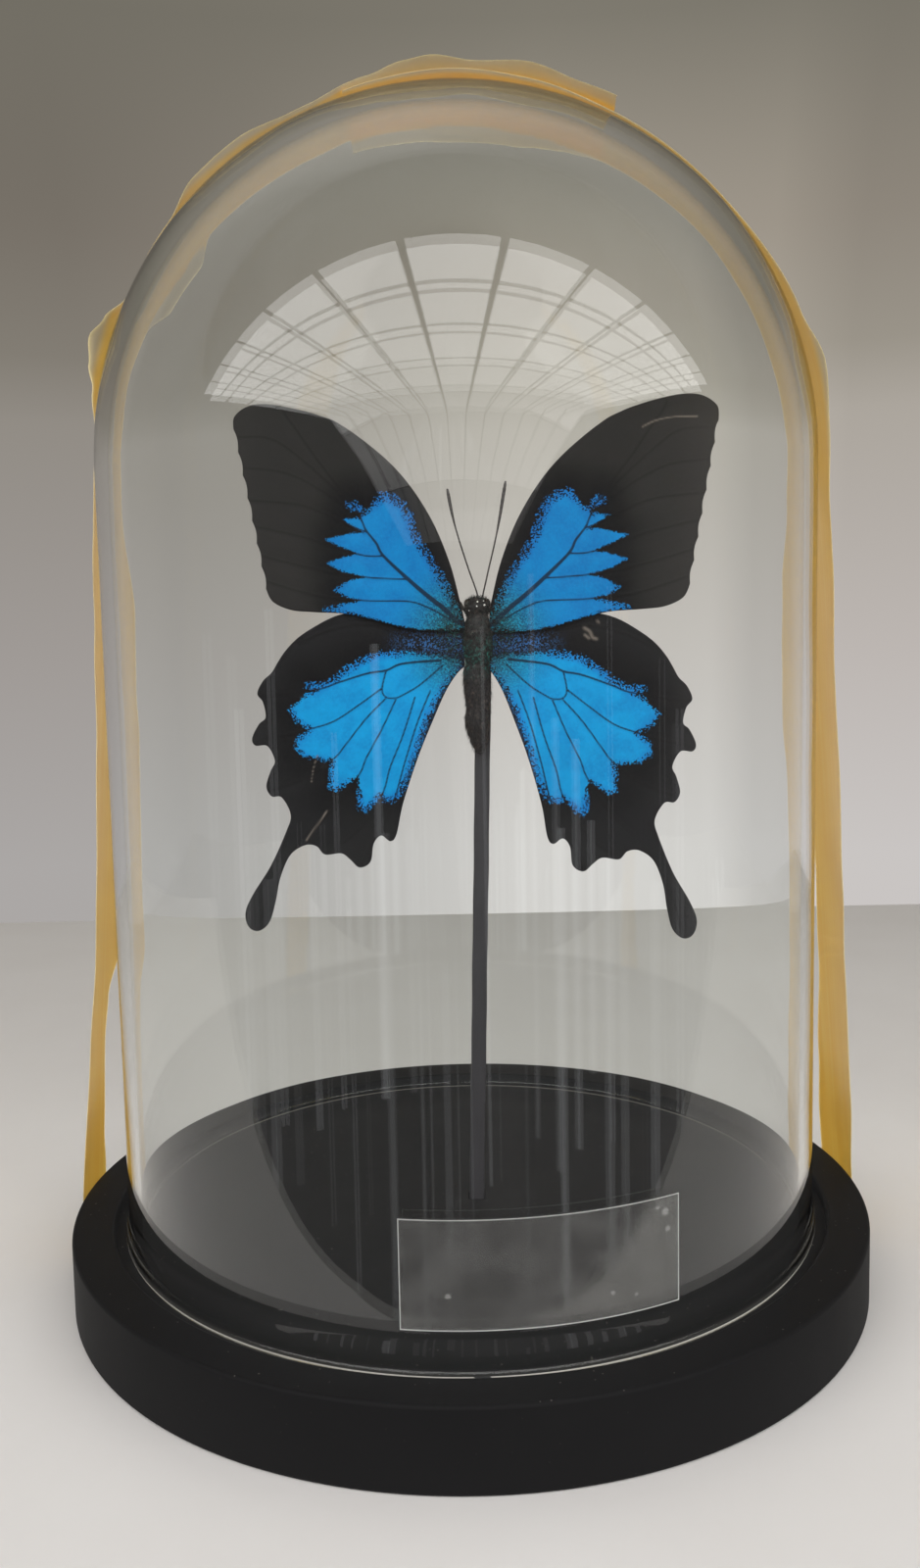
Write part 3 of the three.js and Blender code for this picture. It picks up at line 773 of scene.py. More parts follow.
def makeLimbs():
    chitin = satinChitin()
    for name, line in antennaLines.items():
        points = [(insect["x"] + x, insect["y"] + antenna["y"], insect["z"] + z) for x, z in line]
        piece = tube(f"{name}_feeler", points, feelerRadius, 10, 56)
        finishPiece(piece, chitin, [name])
    for pair, line in legLines.items():
        for sideName, side in (("left", -1), ("right", 1)):
            points = [(insect["x"] + side * x, insect["y"] + y, insect["z"] + z) for x, y, z in line]
            piece = tube(f"{sideName}_{pair}_limb", points, legRadius, 10, 16)
            finishPiece(piece, chitin, [f"{sideName}_{pair}_leg"])


# insect: wings, drawn for the right pair as (out from the body's axis, up from the thorax's middle)

wing = {
    "grid": 0.42,
    "thickness": 0.16,
    "veinRise": 0.11,
    "veinWidth": 0.32,
    "backVeinShare": 0.7,  # of the rise in front
    "cellSwell": 0.22,
    "wave": 0.35,
    "scarRise": 0.12,
    "hinge": (3.5, 1),
    "nearestToBody": 2.9,
    "rootGreen": 0.7,
}
wingSet = [
    {"name": "right_forewing", "side": 1, "kind": "fore", "turn": 0, "scale": 1, "shift": (0, 0)},
    {"name": "left_forewing", "side": -1, "kind": "fore", "turn": 0.5, "scale": 0.97, "shift": (0.9, 0.6)},
    {"name": "right_hindwing", "side": 1, "kind": "hind", "turn": 0, "scale": 1, "shift": (0, 0)},
    {"name": "left_hindwing", "side": -1, "kind": "hind", "turn": 4, "scale": 0.987, "shift": (1.4, -0.3)},
]
forewing = {
    "y": -6.75,
    "finish": "structuralBlueScalesFore",
    # the forewing's far and outer black tones are lighter than the hindwing's, partly a painted sheen
    "tones": {"deep": "#006DB0", "bright": "#0079BA", "sheen": "#0488CA", "rim": "#0E5CA8", "far": "#252423",
              "bareAndSheen": "#292827"},
    "costa": [(2.2, 3.4), (3.3, 8.2), (5.9, 18.2), (10.4, 29), (17, 39), (25, 46.8), (35.5, 53.9),
              (47, 57.4), (54.5, 57.8), (59, 55.2)],
    "marginFrom": (59.4, 51.5),
    "marginTo": (52.3, 12.2),
    "scallops": 7,
    "scallopDepth": 0.45,
    "innerMargin": [(50.6, 8.9), (46, 6.8), (40, 6.2), (32, 5.7), (25, 4), (19, 2.2), (13, 1.2),
                    (7.5, 1.2), (2.2, 1.3)],
    "blue": [
        (20.8, 34.5), (23.1, 34.5), (24.9, 32.2), (26.7, 30.8), (27.9, 30.1), (28.1, 29.3),
        (32.7, 29.1), (28.3, 26.5), (26.4, 25.7), (29.9, 25.8), (37.1, 24.3), (33.6, 22.6),
        (28.5, 20.5), (31.7, 20.1), (36.8, 18.4), (33, 16.4), (27.1, 14.9), (31.4, 13.9), (34.9, 11.6),
        (32.4, 10.1), (27.9, 9.0), (31.6, 8.3), (37.6, 6.9), (34, 6.0), (30.7, 5.7), (25, 4.4),
        (19, 2.6), (13, 1.6), (7.5, 1.6), (2.4, 1.9), (3.4, 4.4), (5.9, 9.8), (7.6, 13.4), (9.5, 16.6),
        (12.4, 21.1), (14.7, 25.2), (16.2, 30.1), (18, 32.8),
    ],
    "patches": [[(28.5, 31.6), (29.4, 33.4), (31.2, 32.6), (29.6, 31.4)]],
    "rootVeinExtra": 0.4,
    "veins": [
        [(2.6, 2.6), (5.2, 4.6), (7.5, 6.8), (11.8, 10.2), (16.4, 14.2), (22.5, 20), (24.3, 23.2),
         (26.7, 26.3), (28.1, 29.4), (29.5, 32.1), (38, 43), (45, 53), (47, 56.6)],
        [(2.6, 2.2), (7.5, 5.0), (12.2, 7.4), (16.8, 8.7), (27.9, 9.0), (40, 10.5), (52.6, 14.2)],
        [(16.4, 14.2), (27.1, 14.8), (40, 17), (53.4, 20.5)],
        [(22.5, 20), (28.5, 20.4), (41, 24.5), (54.6, 27.6)],
        [(26.7, 26.3), (28.6, 26.7), (42, 32.5), (55.8, 34)],
        [(28.1, 29.4), (34, 34), (46, 40.5), (57.2, 42)],
        [(29.5, 32.1), (42, 43.5), (50, 49), (58.6, 49.5)],
    ],
    # (line, width of the speckled edge beside it, how far it reaches)
    "powder": [
        ([(5.2, 3.9), (6.2, 9.8), (7.6, 13.4), (9.5, 16.6), (12.4, 21.1), (14.7, 25.2), (16.2, 30.1),
          (18, 32.8), (20.8, 34.5), (23.1, 34.5)],
         2.0, 3.0),
        ([(23.1, 34.5), (24.9, 32.2), (27.9, 30.1)], 1.0, 2.0),
        ([(28.5, 31.6), (31.2, 33.0)], 1.6, 2.0), ([(37.6, 6.9), (34, 6.4), (30, 6)], 1.0, 2.0),
        ([(34.9, 11.6), (34, 11)], 0.7, 2.0),
    ],
    "plainPowder": 0.28,
}
hindwing = {
    "y": -5.85,
    "finish": "structuralBlueScalesHind",
    "tones": {"deep": "#0082C2", "bright": "#0090CE", "sheen": "#0A9CDB", "rim": "#1268BC", "far": "#171719",
              "bareAndSheen": "#1C1C1D"},
    "edge": [
        (2.2, 3.2), (5, 3.4), (9, 3.9), (17, 5.2), (24, 6.2), (30, 5.4), (34.6, 4), (39.3, 1.3),
        (43.4, -1.7), (46.3, -5), (48.1, -7.9), (49.6, -10.6), (51.7, -12.8), (53, -16), (51.5, -18.1),
        (50.7, -21.8), (52.3, -23.6), (53.9, -27.2), (53, -29), (50, -29), (48, -32.6), (49, -35.3),
        (49.9, -39.2), (48.5, -41.6), (45.9, -41.8), (43.5, -46), (44.4, -50.2), (48, -59.2),
        (52.2, -66.6), (54.1, -71.5), (53.2, -75.2), (50.6, -76.2), (47.9, -73.8), (46.5, -68.5),
        (45.5, -62.2), (43.2, -56.3), (39.6, -53.6), (36.6, -53.7), (34.4, -55.7), (30.3, -55.2),
        (28, -56.6), (25.5, -58.6), (22.8, -57), (22.2, -52.4), (20.4, -50.2), (18, -51.5),
        (16.5, -49.6), (15.2, -41.7), (12.1, -30.3), (9, -21.3), (5.9, -13.2), (3.3, -8.6), (1.4, -6.6),
    ],
    "blue": [
        (6.9, -4.3), (15.7, -4.1), (21.6, -4.5), (25.7, -5.7), (29.8, -8.2), (33.3, -11.2), (36.9, -13),
        (40.8, -13.4), (38, -14.3), (41, -16), (44.5, -19.6), (42.7, -22.3), (39.2, -24.2), (42.4, -27),
        (42.7, -29.4), (40.3, -31.1), (36.2, -31.6), (33.2, -31.3), (33.8, -35), (33.7, -38.5),
        (32.5, -39.3), (29.6, -37.1), (27.0, -35.4), (26.4, -38.3), (26.2, -43.1), (25.1, -44),
        (22.4, -41.5), (20.7, -39.6), (20.3, -40.6), (18.2, -41.1), (16.5, -39.9), (15, -36.3),
        (13.6, -31.5), (11.9, -25.5), (9.6, -18.4), (6.6, -12.6), (3.6, -7.8), (2.8, -5.6),
    ],
    "patches": [],
    "innerFold": [(4, -8.2), (5.9, -13), (9, -21.3), (12.1, -30.3), (14.2, -38)],
    "rootVeinExtra": 0.1,
    "veins": [
        [(7.5, -5.4), (16.9, -6.7), (21, -8.6), (25.7, -9.6), (33.3, -12.4), (36.9, -13.9), (45, -15.4),
         (52.6, -16.4)],
        [(21, -8.6), (21.8, -13.3), (20.6, -15.3), (17.9, -15.3)],
        [(6.9, -6.6), (12.7, -12), (17.9, -15.3)],
        [(22, -13.2), (27.4, -17.5), (33.3, -21.8), (38.9, -24), (46, -26), (53.4, -27.8)],
        [(20.9, -15.7), (25.6, -21), (30.8, -28.3), (33.2, -31.3), (40, -36.6), (49, -40)],
        [(18.2, -15.6), (21.4, -23.3), (24.9, -30.5), (26.9, -35.6), (33, -44.5), (40.5, -52),
         (46.5, -63), (50.6, -74)],
        [(13.5, -14.9), (16, -24.4), (18.9, -32.8), (20.6, -39.7), (26, -49), (34, -55.2)],
        [(9.7, -13.1), (12.6, -21.3), (15.2, -31.1), (18.5, -44), (25.2, -57.8)],
        [(5.6, -5.2), (14, -0.5), (26, 2.5), (36, 0.5), (43, -3)],
    ],
    "powder": [
        ([(6.9, -4.3), (15.7, -4.1)], 0.8, 2.0),
        ([(19, -4.2), (25.7, -5.7), (29.8, -8.2), (33.3, -11.2), (36.9, -13), (40.8, -13.4)], 1.7, 2.5),
        ([(44.5, -19.6), (42.7, -22.3), (39.2, -24.2), (42.4, -27), (42.7, -29.4), (40.3, -31.1)],
         1.1, 2.0),
        ([(36.2, -31.6), (33.5, -33), (33.7, -38.5), (32.5, -39.3), (29.6, -37.1)], 1.1, 2.0),
        ([(26.2, -41), (25.1, -44), (22.4, -41.5), (18.2, -41.1), (16.5, -39.9), (15, -36.3)], 1.5, 2.5),
        ([(15, -36.3), (13.6, -31.5), (11.9, -25.5), (9.6, -18.4), (6.8, -12.4), (3.9, -6.5)], 1.3, 2.5),
    ],
    "plainPowder": 0.35,
}
wingKinds = {"fore": forewing, "hind": hindwing}
# damage, as lines in the upright plane: (wing, line, half width)
scars = [
    ("right_forewing", [(45.3, 209.9), (48.5, 211.3), (53, 212.3), (58.6, 212.4)], 0.17),
    ("right_hindwing", [(30.8, 161.9), (32.1, 161.0), (32.7, 159.6), (33.7, 159.2)], 0.34),
    ("right_hindwing", [(30.9, 160.2), (31.8, 159.4)], 0.3),
    ("right_hindwing", [(33.9, 163.6), (34.3, 163.2)], 0.25),
    ("left_hindwing", [(-39.3, 110.6), (-37.4, 113.2), (-34.0, 117.8)], 0.16),
    ("left_hindwing", [(-37.6, 125.2), (-37.0, 128.6), (-35.9, 131.8)], 0.09),
]


def scallopedMargin(spec):
    start, end = np.array(spec["marginFrom"]), np.array(spec["marginTo"])
    inwards = np.array((end[1] - start[1], start[0] - end[0]))
    inwards = inwards / np.linalg.norm(inwards)
    shares = np.arange(1, spec["scallops"] * 12) / (spec["scallops"] * 12)
    bites = spec["scallopDepth"] * np.abs(np.sin(shares * spec["scallops"] * math.pi))
    return start + shares[:, None] * (end - start) + bites[:, None] * inwards


def wingOutline(kind):
    if kind == "hind":
        return smoothLine(hindwing["edge"], 8)
    lead = smoothLine([*forewing["costa"], forewing["marginFrom"]], 14)
    trail = smoothLine([forewing["marginTo"], *forewing["innerMargin"]], 10)
    return np.vstack([lead, scallopedMargin(forewing), trail])


def wingSkin(outline):  # an even net of triangles inside the outline
    step = wing["grid"]
    low, high = outline.min(axis=0), outline.max(axis=0)
    rows = np.arange(low[1], high[1], step * 0.866)
    net = np.array([(x + (k % 2) * step / 2, y) for k, y in enumerate(rows)
                    for x in np.arange(low[0], high[0], step)])
    net = net[inside(net, outline)]
    net = net[distanceTo(net, np.vstack([outline, outline[:1]])) > step * 0.5]
    rim = len(outline)
    made = delaunay_2d_cdt([Vector(p) for p in (*outline, *net)], [(i, (i + 1) % rim) for i in range(rim)],
                           [], 1, 1e-5)
    points, faces, origin = np.array([tuple(p) for p in made[0]]), made[2], made[3]
    ring = {old: new for new, olds in enumerate(origin) for old in olds if old < rim}
    return points, faces, [ring[i] for i in range(rim)]


def wingFields(spec, points):  # what the scales' colours and the veins' relief follow
    blue = signedDistance(points, np.array(spec["blue"]))
    for patch in spec["patches"]:
        blue = np.maximum(blue, signedDistance(points, np.array(patch)))
    veins = np.array([distanceTo(points, smoothLine(line, 6)) for line in spec["veins"]])
    powder = np.full(len(points), spec["plainPowder"])
    for line, width, reach in spec["powder"]:
        near = np.exp(-(distanceTo(points, np.array(line)) / reach) ** 2)
        powder = np.maximum(powder, spec["plainPowder"] + (width - spec["plainPowder"]) * near)
    out = np.linalg.norm(points - np.array((1.5, 0.5)), axis=1)
    # the main vein is thickest at the root
    veins[0] -= spec["rootVeinExtra"] * (1 - smoothStep(out, 6, 44))
    veins = np.maximum(veins.min(axis=0), 0)
    return {"blueDepth": blue, "veinDistance": np.minimum(veins, 4), "powder": powder, "rootDistance": out}


def wingPlace(spec, points):
    turn = math.radians(spec["turn"])
    turning = np.array(((math.cos(turn), math.sin(turn)), (-math.sin(turn), math.cos(turn))))
    hinge = np.array(wing["hinge"])
    placed = (points - hinge) @ turning * spec["scale"] + hinge + np.array(spec["shift"])
    placed[:, 0] = spec["side"] * np.maximum(placed[:, 0], wing["nearestToBody"])
    return placed + np.array((insect["x"], insect["z"]))


def addMarks(fields, spec, points, placed):  # damage, dusky scales, bare patches, and on the forewing a painted sheen over the outer black
    out, up = points[:, 0], points[:, 1]
    scar = np.zeros(len(points))
    for name, line, halfWidth in scars:
        if name == spec["name"]:
            scar = np.maximum(scar, np.exp(-(distanceTo(placed, smoothLine(line, 4)) / halfWidth) ** 2))
    fields["scar"] = scar
    if spec["kind"] == "fore":
        fields["dusk"] = np.zeros(len(points))
        # the forewing's outer black turns paler: partly a painted sheen
        fields["bareAndSheen"] = smoothStep(out, 34, 44) * 0.8
        return
    # a dusky band under the forewing, and a strip along the inner margin
    band = np.exp(-((up + 1.6) / 2.4) ** 2) * (1 - smoothStep(out, 13, 23))
    fromFold = distanceTo(points, np.array(hindwing["innerFold"]))
    strip = np.exp(-((fromFold - 1.6) / 1.3) ** 2) * (1 - smoothStep(-up, 30, 40))
    fields["dusk"] = np.maximum(band, 0.8 * strip)
    fields["bareAndSheen"] = smoothStep(-up, 38, 50) * (1 - smoothStep(out, 26, 36)) + smoothStep(-up, 50, 56)


def makeWing(spec, shape, material):
    points, faces, ring = wingSkin(wingOutline(spec["kind"]))
    placed = wingPlace(spec, points)
    fields = wingFields(shape, points)
    addMarks(fields, spec, points, placed)
    out, up = points[:, 0], points[:, 1]
    wave = wing["wave"] * np.sin(out / 9 + 0.6) * np.sin(up / 11 + 1.1) * smoothStep(out, 4, 12)
    swell = wing["cellSwell"] * (1 - np.exp(-fields["veinDistance"] / 2.2)) * smoothStep(out, 4, 10)
    camber = shape["y"] + wave - swell
    vein = np.exp(-(fields["veinDistance"] / wing["veinWidth"]) ** 2)
    ridge = wing["veinRise"] * vein + wing["scarRise"] * fields["scar"]
    half = wing["thickness"] / 2
    front = np.column_stack([placed[:, 0], camber - half - ridge, placed[:, 1]])
    back = np.column_stack([placed[:, 0], camber + half + ridge * wing["backVeinShare"], placed[:, 1]])
    count = len(points)
    frontFaces = [tuple(f) for f in faces]
    backFaces = [tuple(count + i for i in reversed(f)) for f in faces]
    rimFaces = [(a, b, count + b, count + a) for a, b in zip(ring, ring[1:] + ring[:1])]
    piece = meshPiece(f"{spec['name']}_scaled", np.vstack([front, back]), frontFaces + backFaces + rimFaces)
    outwards(piece)
    for name, values in fields.items():
        setAttribute(piece, name, np.tile(values, 2))
    setAttribute(piece, "upperSide", np.repeat((1.0, 0.0), count))
    # hair grows from the root of the upper side, away from the body
    root = (1 - smoothStep(fields["rootDistance"], 3.4, 9)) * smoothStep(out, 2.5, 4.2)
    setAttribute(piece, "hairShare", np.concatenate([root, root * 0]))
    setAttribute(piece, "greenShare", np.full(2 * count, wing["rootGreen"]))
    away = np.column_stack([placed[:, 0] - insect["x"], np.zeros(count),
                            (placed[:, 1] - insect["z"]) * 1.2])
    away /= np.linalg.norm(away, axis=1)[:, None]
    setFlow(piece, np.vstack([away, away]))
    finishPiece(piece, material, [spec["name"]])
    return piece


# powder of overlapping scales: structural blue over velvet black, brown underneath
def wingScales(name, tones):
    material, tree, shader = newMaterial(name)
    place = add(tree, "ShaderNodeTexCoord", None, "Object")
    field = {name: add(tree, "ShaderNodeAttribute", None, "Fac", attribute_name=name)
             for name in ("blueDepth", "veinDistance", "powder", "rootDistance", "dusk", "bareAndSheen", "scar",
                          "upperSide")}
    # single scales are about 0.1 mm; here they are 0.3 mm, as coarse as it needs to show
    cells = add(tree, "ShaderNodeTexVoronoi", {"Vector": place, "Scale": grain(0.3)}, "Color")
    scale = add(tree, "ShaderNodeSeparateXYZ", {0: cells}).outputs
    mottle = add(tree, "ShaderNodeTexNoise", {"Vector": place, "Scale": grain(5), "Detail": 3}, "Fac")
    fine = add(tree, "ShaderNodeTexNoise", {"Vector": place, "Scale": grain(0.7), "Detail": 2}, "Fac")
    # scales stray across the blue's edge, further where the edge is powdery
    offCentre = add(tree, "ShaderNodeMath", {0: scale["X"], 1: 0.5}, 0, **minus)
    reach = add(tree, "ShaderNodeMath", {0: field["powder"], 1: 2}, 0, **times)
    strayed = add(tree, "ShaderNodeMath", {0: offCentre, 1: reach}, 0, **times)
    depth = add(tree, "ShaderNodeMath", {0: field["blueDepth"], 1: strayed}, 0, **plus)
    # what each share follows, from where to where, and how strong it is there
    share = {key: add(tree, "ShaderNodeMapRange", {0: source, 1: low, 2: high, 3: start, 4: end}, 0,
                      **smoothly)
             for key, source, low, high, start, end in (
                 ("blue", depth, -0.12, 0.12, 0, 1),
                 ("bright", mottle, 0.35, 0.65, 0, 1),
                 ("sheen", fine, 0.3, 0.75, 0, 0.35),
                 ("rim", field["blueDepth"], 0, 2.2, 0.55, 0),
                 ("powdery", field["powder"], 0.4, 1.6, 0, 1),
                 ("root", field["rootDistance"], 4, 21, 0.95, 0),
                 ("teal", scale["Y"], 0.3, 0.7, 0, 1),
                 ("rootGap", field["rootDistance"], 3, 17, 0.65, 0.03),
                 ("missing", scale["Z"], 0.45, 0.6, 0, 1),
                 ("vein", field["veinDistance"], 0.08, 0.36, 0.92, 0),
                 ("velvet", field["blueDepth"], -11, -1, 0, 1),
                 ("brown", fine, 0.4, 0.8, 0, 0.25),
                 ("darkVein", field["veinDistance"], 0.1, 0.5, 0.35, 0),
                 ("duskBlue", scale["Y"], 0.35, 0.65, 0, 1),
                 ("duskScale", scale["Z"], 0.25, 0.5, 0, 1),
                 ("upper", field["upperSide"], 0.4, 0.6, 0, 1))}
    for key, first, second in (("rim", share["rim"], share["powdery"]),
                               ("gap", share["rootGap"], share["missing"]),
                               ("bareAndSheen", field["bareAndSheen"], 0.8),
                               ("dusk", field["dusk"], share["duskScale"])):
        share[key] = add(tree, "ShaderNodeMath", {0: first, 1: second}, 0, **times)
    teal, duskTone, under = [
        add(tree, "ShaderNodeMix", {0: amount, 6: srgb(low), 7: srgb(high)}, 2, **inColour)
        for amount, low, high in ((share["teal"], "#0A3D46", "#168094"),
                                  (share["duskBlue"], "#1E1F2B", "#2C5C90"), (fine, "#2A221C", "#3F352C"))]
    blue = srgb(tones["deep"])
    for amount, tone in ((share["bright"], srgb(tones["bright"])), (share["sheen"], srgb(tones["sheen"])),
                         (share["rim"], srgb(tones["rim"])), (share["root"], teal),
                         (share["gap"], srgb("#14201F")), (share["vein"], srgb("#06182C"))):
        blue = add(tree, "ShaderNodeMix", {0: amount, 6: blue, 7: tone}, 2, **inColour)
    # black field: velvet near the blue, browner and barer towards the edge; on the forewing its lighter far
    # and outer tones are partly painted sheen
    colour = srgb(tones["far"])
    for amount, tone in ((share["velvet"], srgb("#070709")), (share["bareAndSheen"], srgb(tones["bareAndSheen"])),
                         (share["brown"], srgb("#242120")), (share["darkVein"], srgb("#0A0908")),
                         (share["dusk"], duskTone), (share["blue"], blue),
                         (field["scar"], srgb("#6E665E"))):
        colour = add(tree, "ShaderNodeMix", {0: amount, 6: colour, 7: tone}, 2, **inColour)
    colour = add(tree, "ShaderNodeMix", {0: share["upper"], 6: under, 7: colour}, 2, **inColour)
    glossier = add(tree, "ShaderNodeMath", {0: share["blue"], 1: 0.2}, 0, **times)
    rough = add(tree, "ShaderNodeMath", {0: 0.72, 1: glossier}, 0, **minus)
    relief = add(tree, "ShaderNodeBump", {"Height": fine, "Distance": 0.06 / 1000, "Strength": 0.35}, 0)
    feed(tree, shader, {"Base Color": colour, "Roughness": rough, "Specular IOR Level": 0.12,
                        "Normal": relief})
    return material


def makeWings(tree, bristles):
    materials = {kind: wingScales(shape["finish"], shape["tones"]) for kind, shape in wingKinds.items()}
    for spec in wingSet:
        piece = makeWing(spec, wingKinds[spec["kind"]], materials[spec["kind"]])
        growHair(f"{spec['name']}_root_hair", piece, tree, bristles, rootHair)


# label: a clear film on the front of the glass, with nothing printed on it

label = {
    "fromAzimuth": -9.8,
    "toAzimuth": 28.4,
    "low": 25.3,
    "high": 47.8,
    "gap": 0.35,
    "thickness": 0.12,
    "columns": 150,
    "rows": 64,
    # (azimuth, height, radius) of the small blisters left under it
    "blisters": [(26.2, 44.6, 0.8), (26.6, 41.0, 0.6), (25.0, 45.9, 0.4), (18.3, 30.2, 0.5),
                 (-3.5, 32.4, 0.45), (21.7, 29.0, 0.35)],
    "blisterRise": 0.2,
    "rim": 0.15,  # width of its white cut edge
}


# cast polypropylene: clear, a little softer than glass, white along its cut edge and blisters
def clearFilm():
    material, tree, shader = newMaterial("clearPolypropyleneFilm")
    place = add(tree, "ShaderNodeTexCoord", None, "Object")
    haze = add(tree, "ShaderNodeAttribute", None, "Fac", attribute_name="haze")
    smear = add(tree, "ShaderNodeTexNoise", {"Vector": place, "Scale": grain(6), "Detail": 3}, "Fac")
    clear = add(tree, "ShaderNodeMapRange", {0: smear, 1: 0.25, 2: 0.75, 3: 0.985, 4: 0.97}, 0, **smoothly)
    milky = add(tree, "ShaderNodeMath", {0: haze, 1: 0.18}, 0, **times)
    clear = add(tree, "ShaderNodeMath", {0: clear, 1: milky}, 0, **minus)
    soft = add(tree, "ShaderNodeMapRange", {0: smear, 1: 0.3, 2: 0.7, 3: 0.06, 4: 0.12}, 0, **smoothly)
    frosted = add(tree, "ShaderNodeMath", {0: haze, 1: 0.3}, 0, **times)
    soft = add(tree, "ShaderNodeMath", {0: soft, 1: frosted}, 0, **plus)
    # IOR: its adhesive wets the glass, so it mirrors less than a loose film
    feed(tree, shader, {"Base Color": srgb("#F4F4F2"), "IOR": 1.33, "Transmission Weight": clear,
                        "Roughness": soft})
    return material


def sheetBetween(name, front, back):  # a closed thin sheet from two grids of points
    rows, columns = front.shape[0], front.shape[1]
    count = rows * columns
    grid = np.arange(count).reshape(rows, columns)
    faces = []
    for i in range(rows - 1):
        for j in range(columns - 1):
            a, b, c, d = grid[i, j], grid[i + 1, j], grid[i + 1, j + 1], grid[i, j + 1]
            faces += [(a, b, c, d), (count + d, count + c, count + b, count + a)]
    loop = [*grid[0, :], *grid[1:, -1], *grid[-1, -2::-1], *grid[-2:0:-1, 0]]
    faces += [(b, a, count + a, count + b) for a, b in zip(loop, loop[1:] + loop[:1])]
    piece = meshPiece(name, np.vstack([front.reshape(-1, 3), back.reshape(-1, 3)]), faces)
    outwards(piece, 60)
    return piece


def makeLabel():
    rim = label["rim"]
    cut = np.array((0, rim, rim * 1.6))  # close rows, which keep the cut edge sharp
    ends = np.degrees(cut / dome["radius"])
    start, stop, low, high = label["fromAzimuth"], label["toAzimuth"], label["low"], label["high"]
    azimuths = [*(start + ends), *np.linspace(start + 0.6, stop - 0.6, label["columns"]),
                *(stop - ends[::-1])]
    heights = [*(low + cut), *np.linspace(low + 0.8, high - 0.8, label["rows"]), *(high - cut[::-1])]
    azimuth, height = np.meshgrid(azimuths, heights, indexing="ij")
    lift = np.zeros_like(height)
    inwards = np.minimum.reduce([np.radians(azimuth - start) * dome["radius"], height - low,
                                 np.radians(stop - azimuth) * dome["radius"], high - height])
    haze = 1 - smoothStep(inwards, rim, rim * 1.6)
    for where, z, radius in label["blisters"]:
        across = np.radians(azimuth - where) * dome["radius"]
        far = np.hypot(across, height - z) / radius
        lift = np.maximum(lift, label["blisterRise"] * np.clip(1 - far ** 2, 0, None))
        haze = np.maximum(haze, 0.5 * (1 - smoothStep(far, 0.8, 1.2)))
    skins = []
    for offset in (label["thickness"] / 2, -label["thickness"] / 2):
        radius = dome["radius"] + label["gap"] + offset + lift
        angle = np.radians(azimuth)
        skins.append(np.stack([radius * np.sin(angle), -radius * np.cos(angle), height], axis=-1))
    piece = sheetBetween("film_label", *skins)
    setAttribute(piece, "haze", np.concatenate([haze.ravel(), haze.ravel()]))
    piece.visible_shadow = False
    finishPiece(piece, clearFilm(), ["label"])


# tape: two strips, named by reach as 0 low end, 1 base edge, 2 shoulder, 3 top of the dome

tape = {
    "thickness": 0.14,
    "gap": 0.3,
    "lapGap": 0.9,
    "lowEnd": 4,
    "paleEdge": 0.7,  # width of the whitish band along its cut edges
    "closestRows": 0.004,  # least distance in reach between the last two rows of points
    "reachLength": 130,  # one step of reach, for the pattern that runs along the film
    "columns": 25,
    "stations": (10, 80, 110, 110),  # rows of points in each step of reach
}
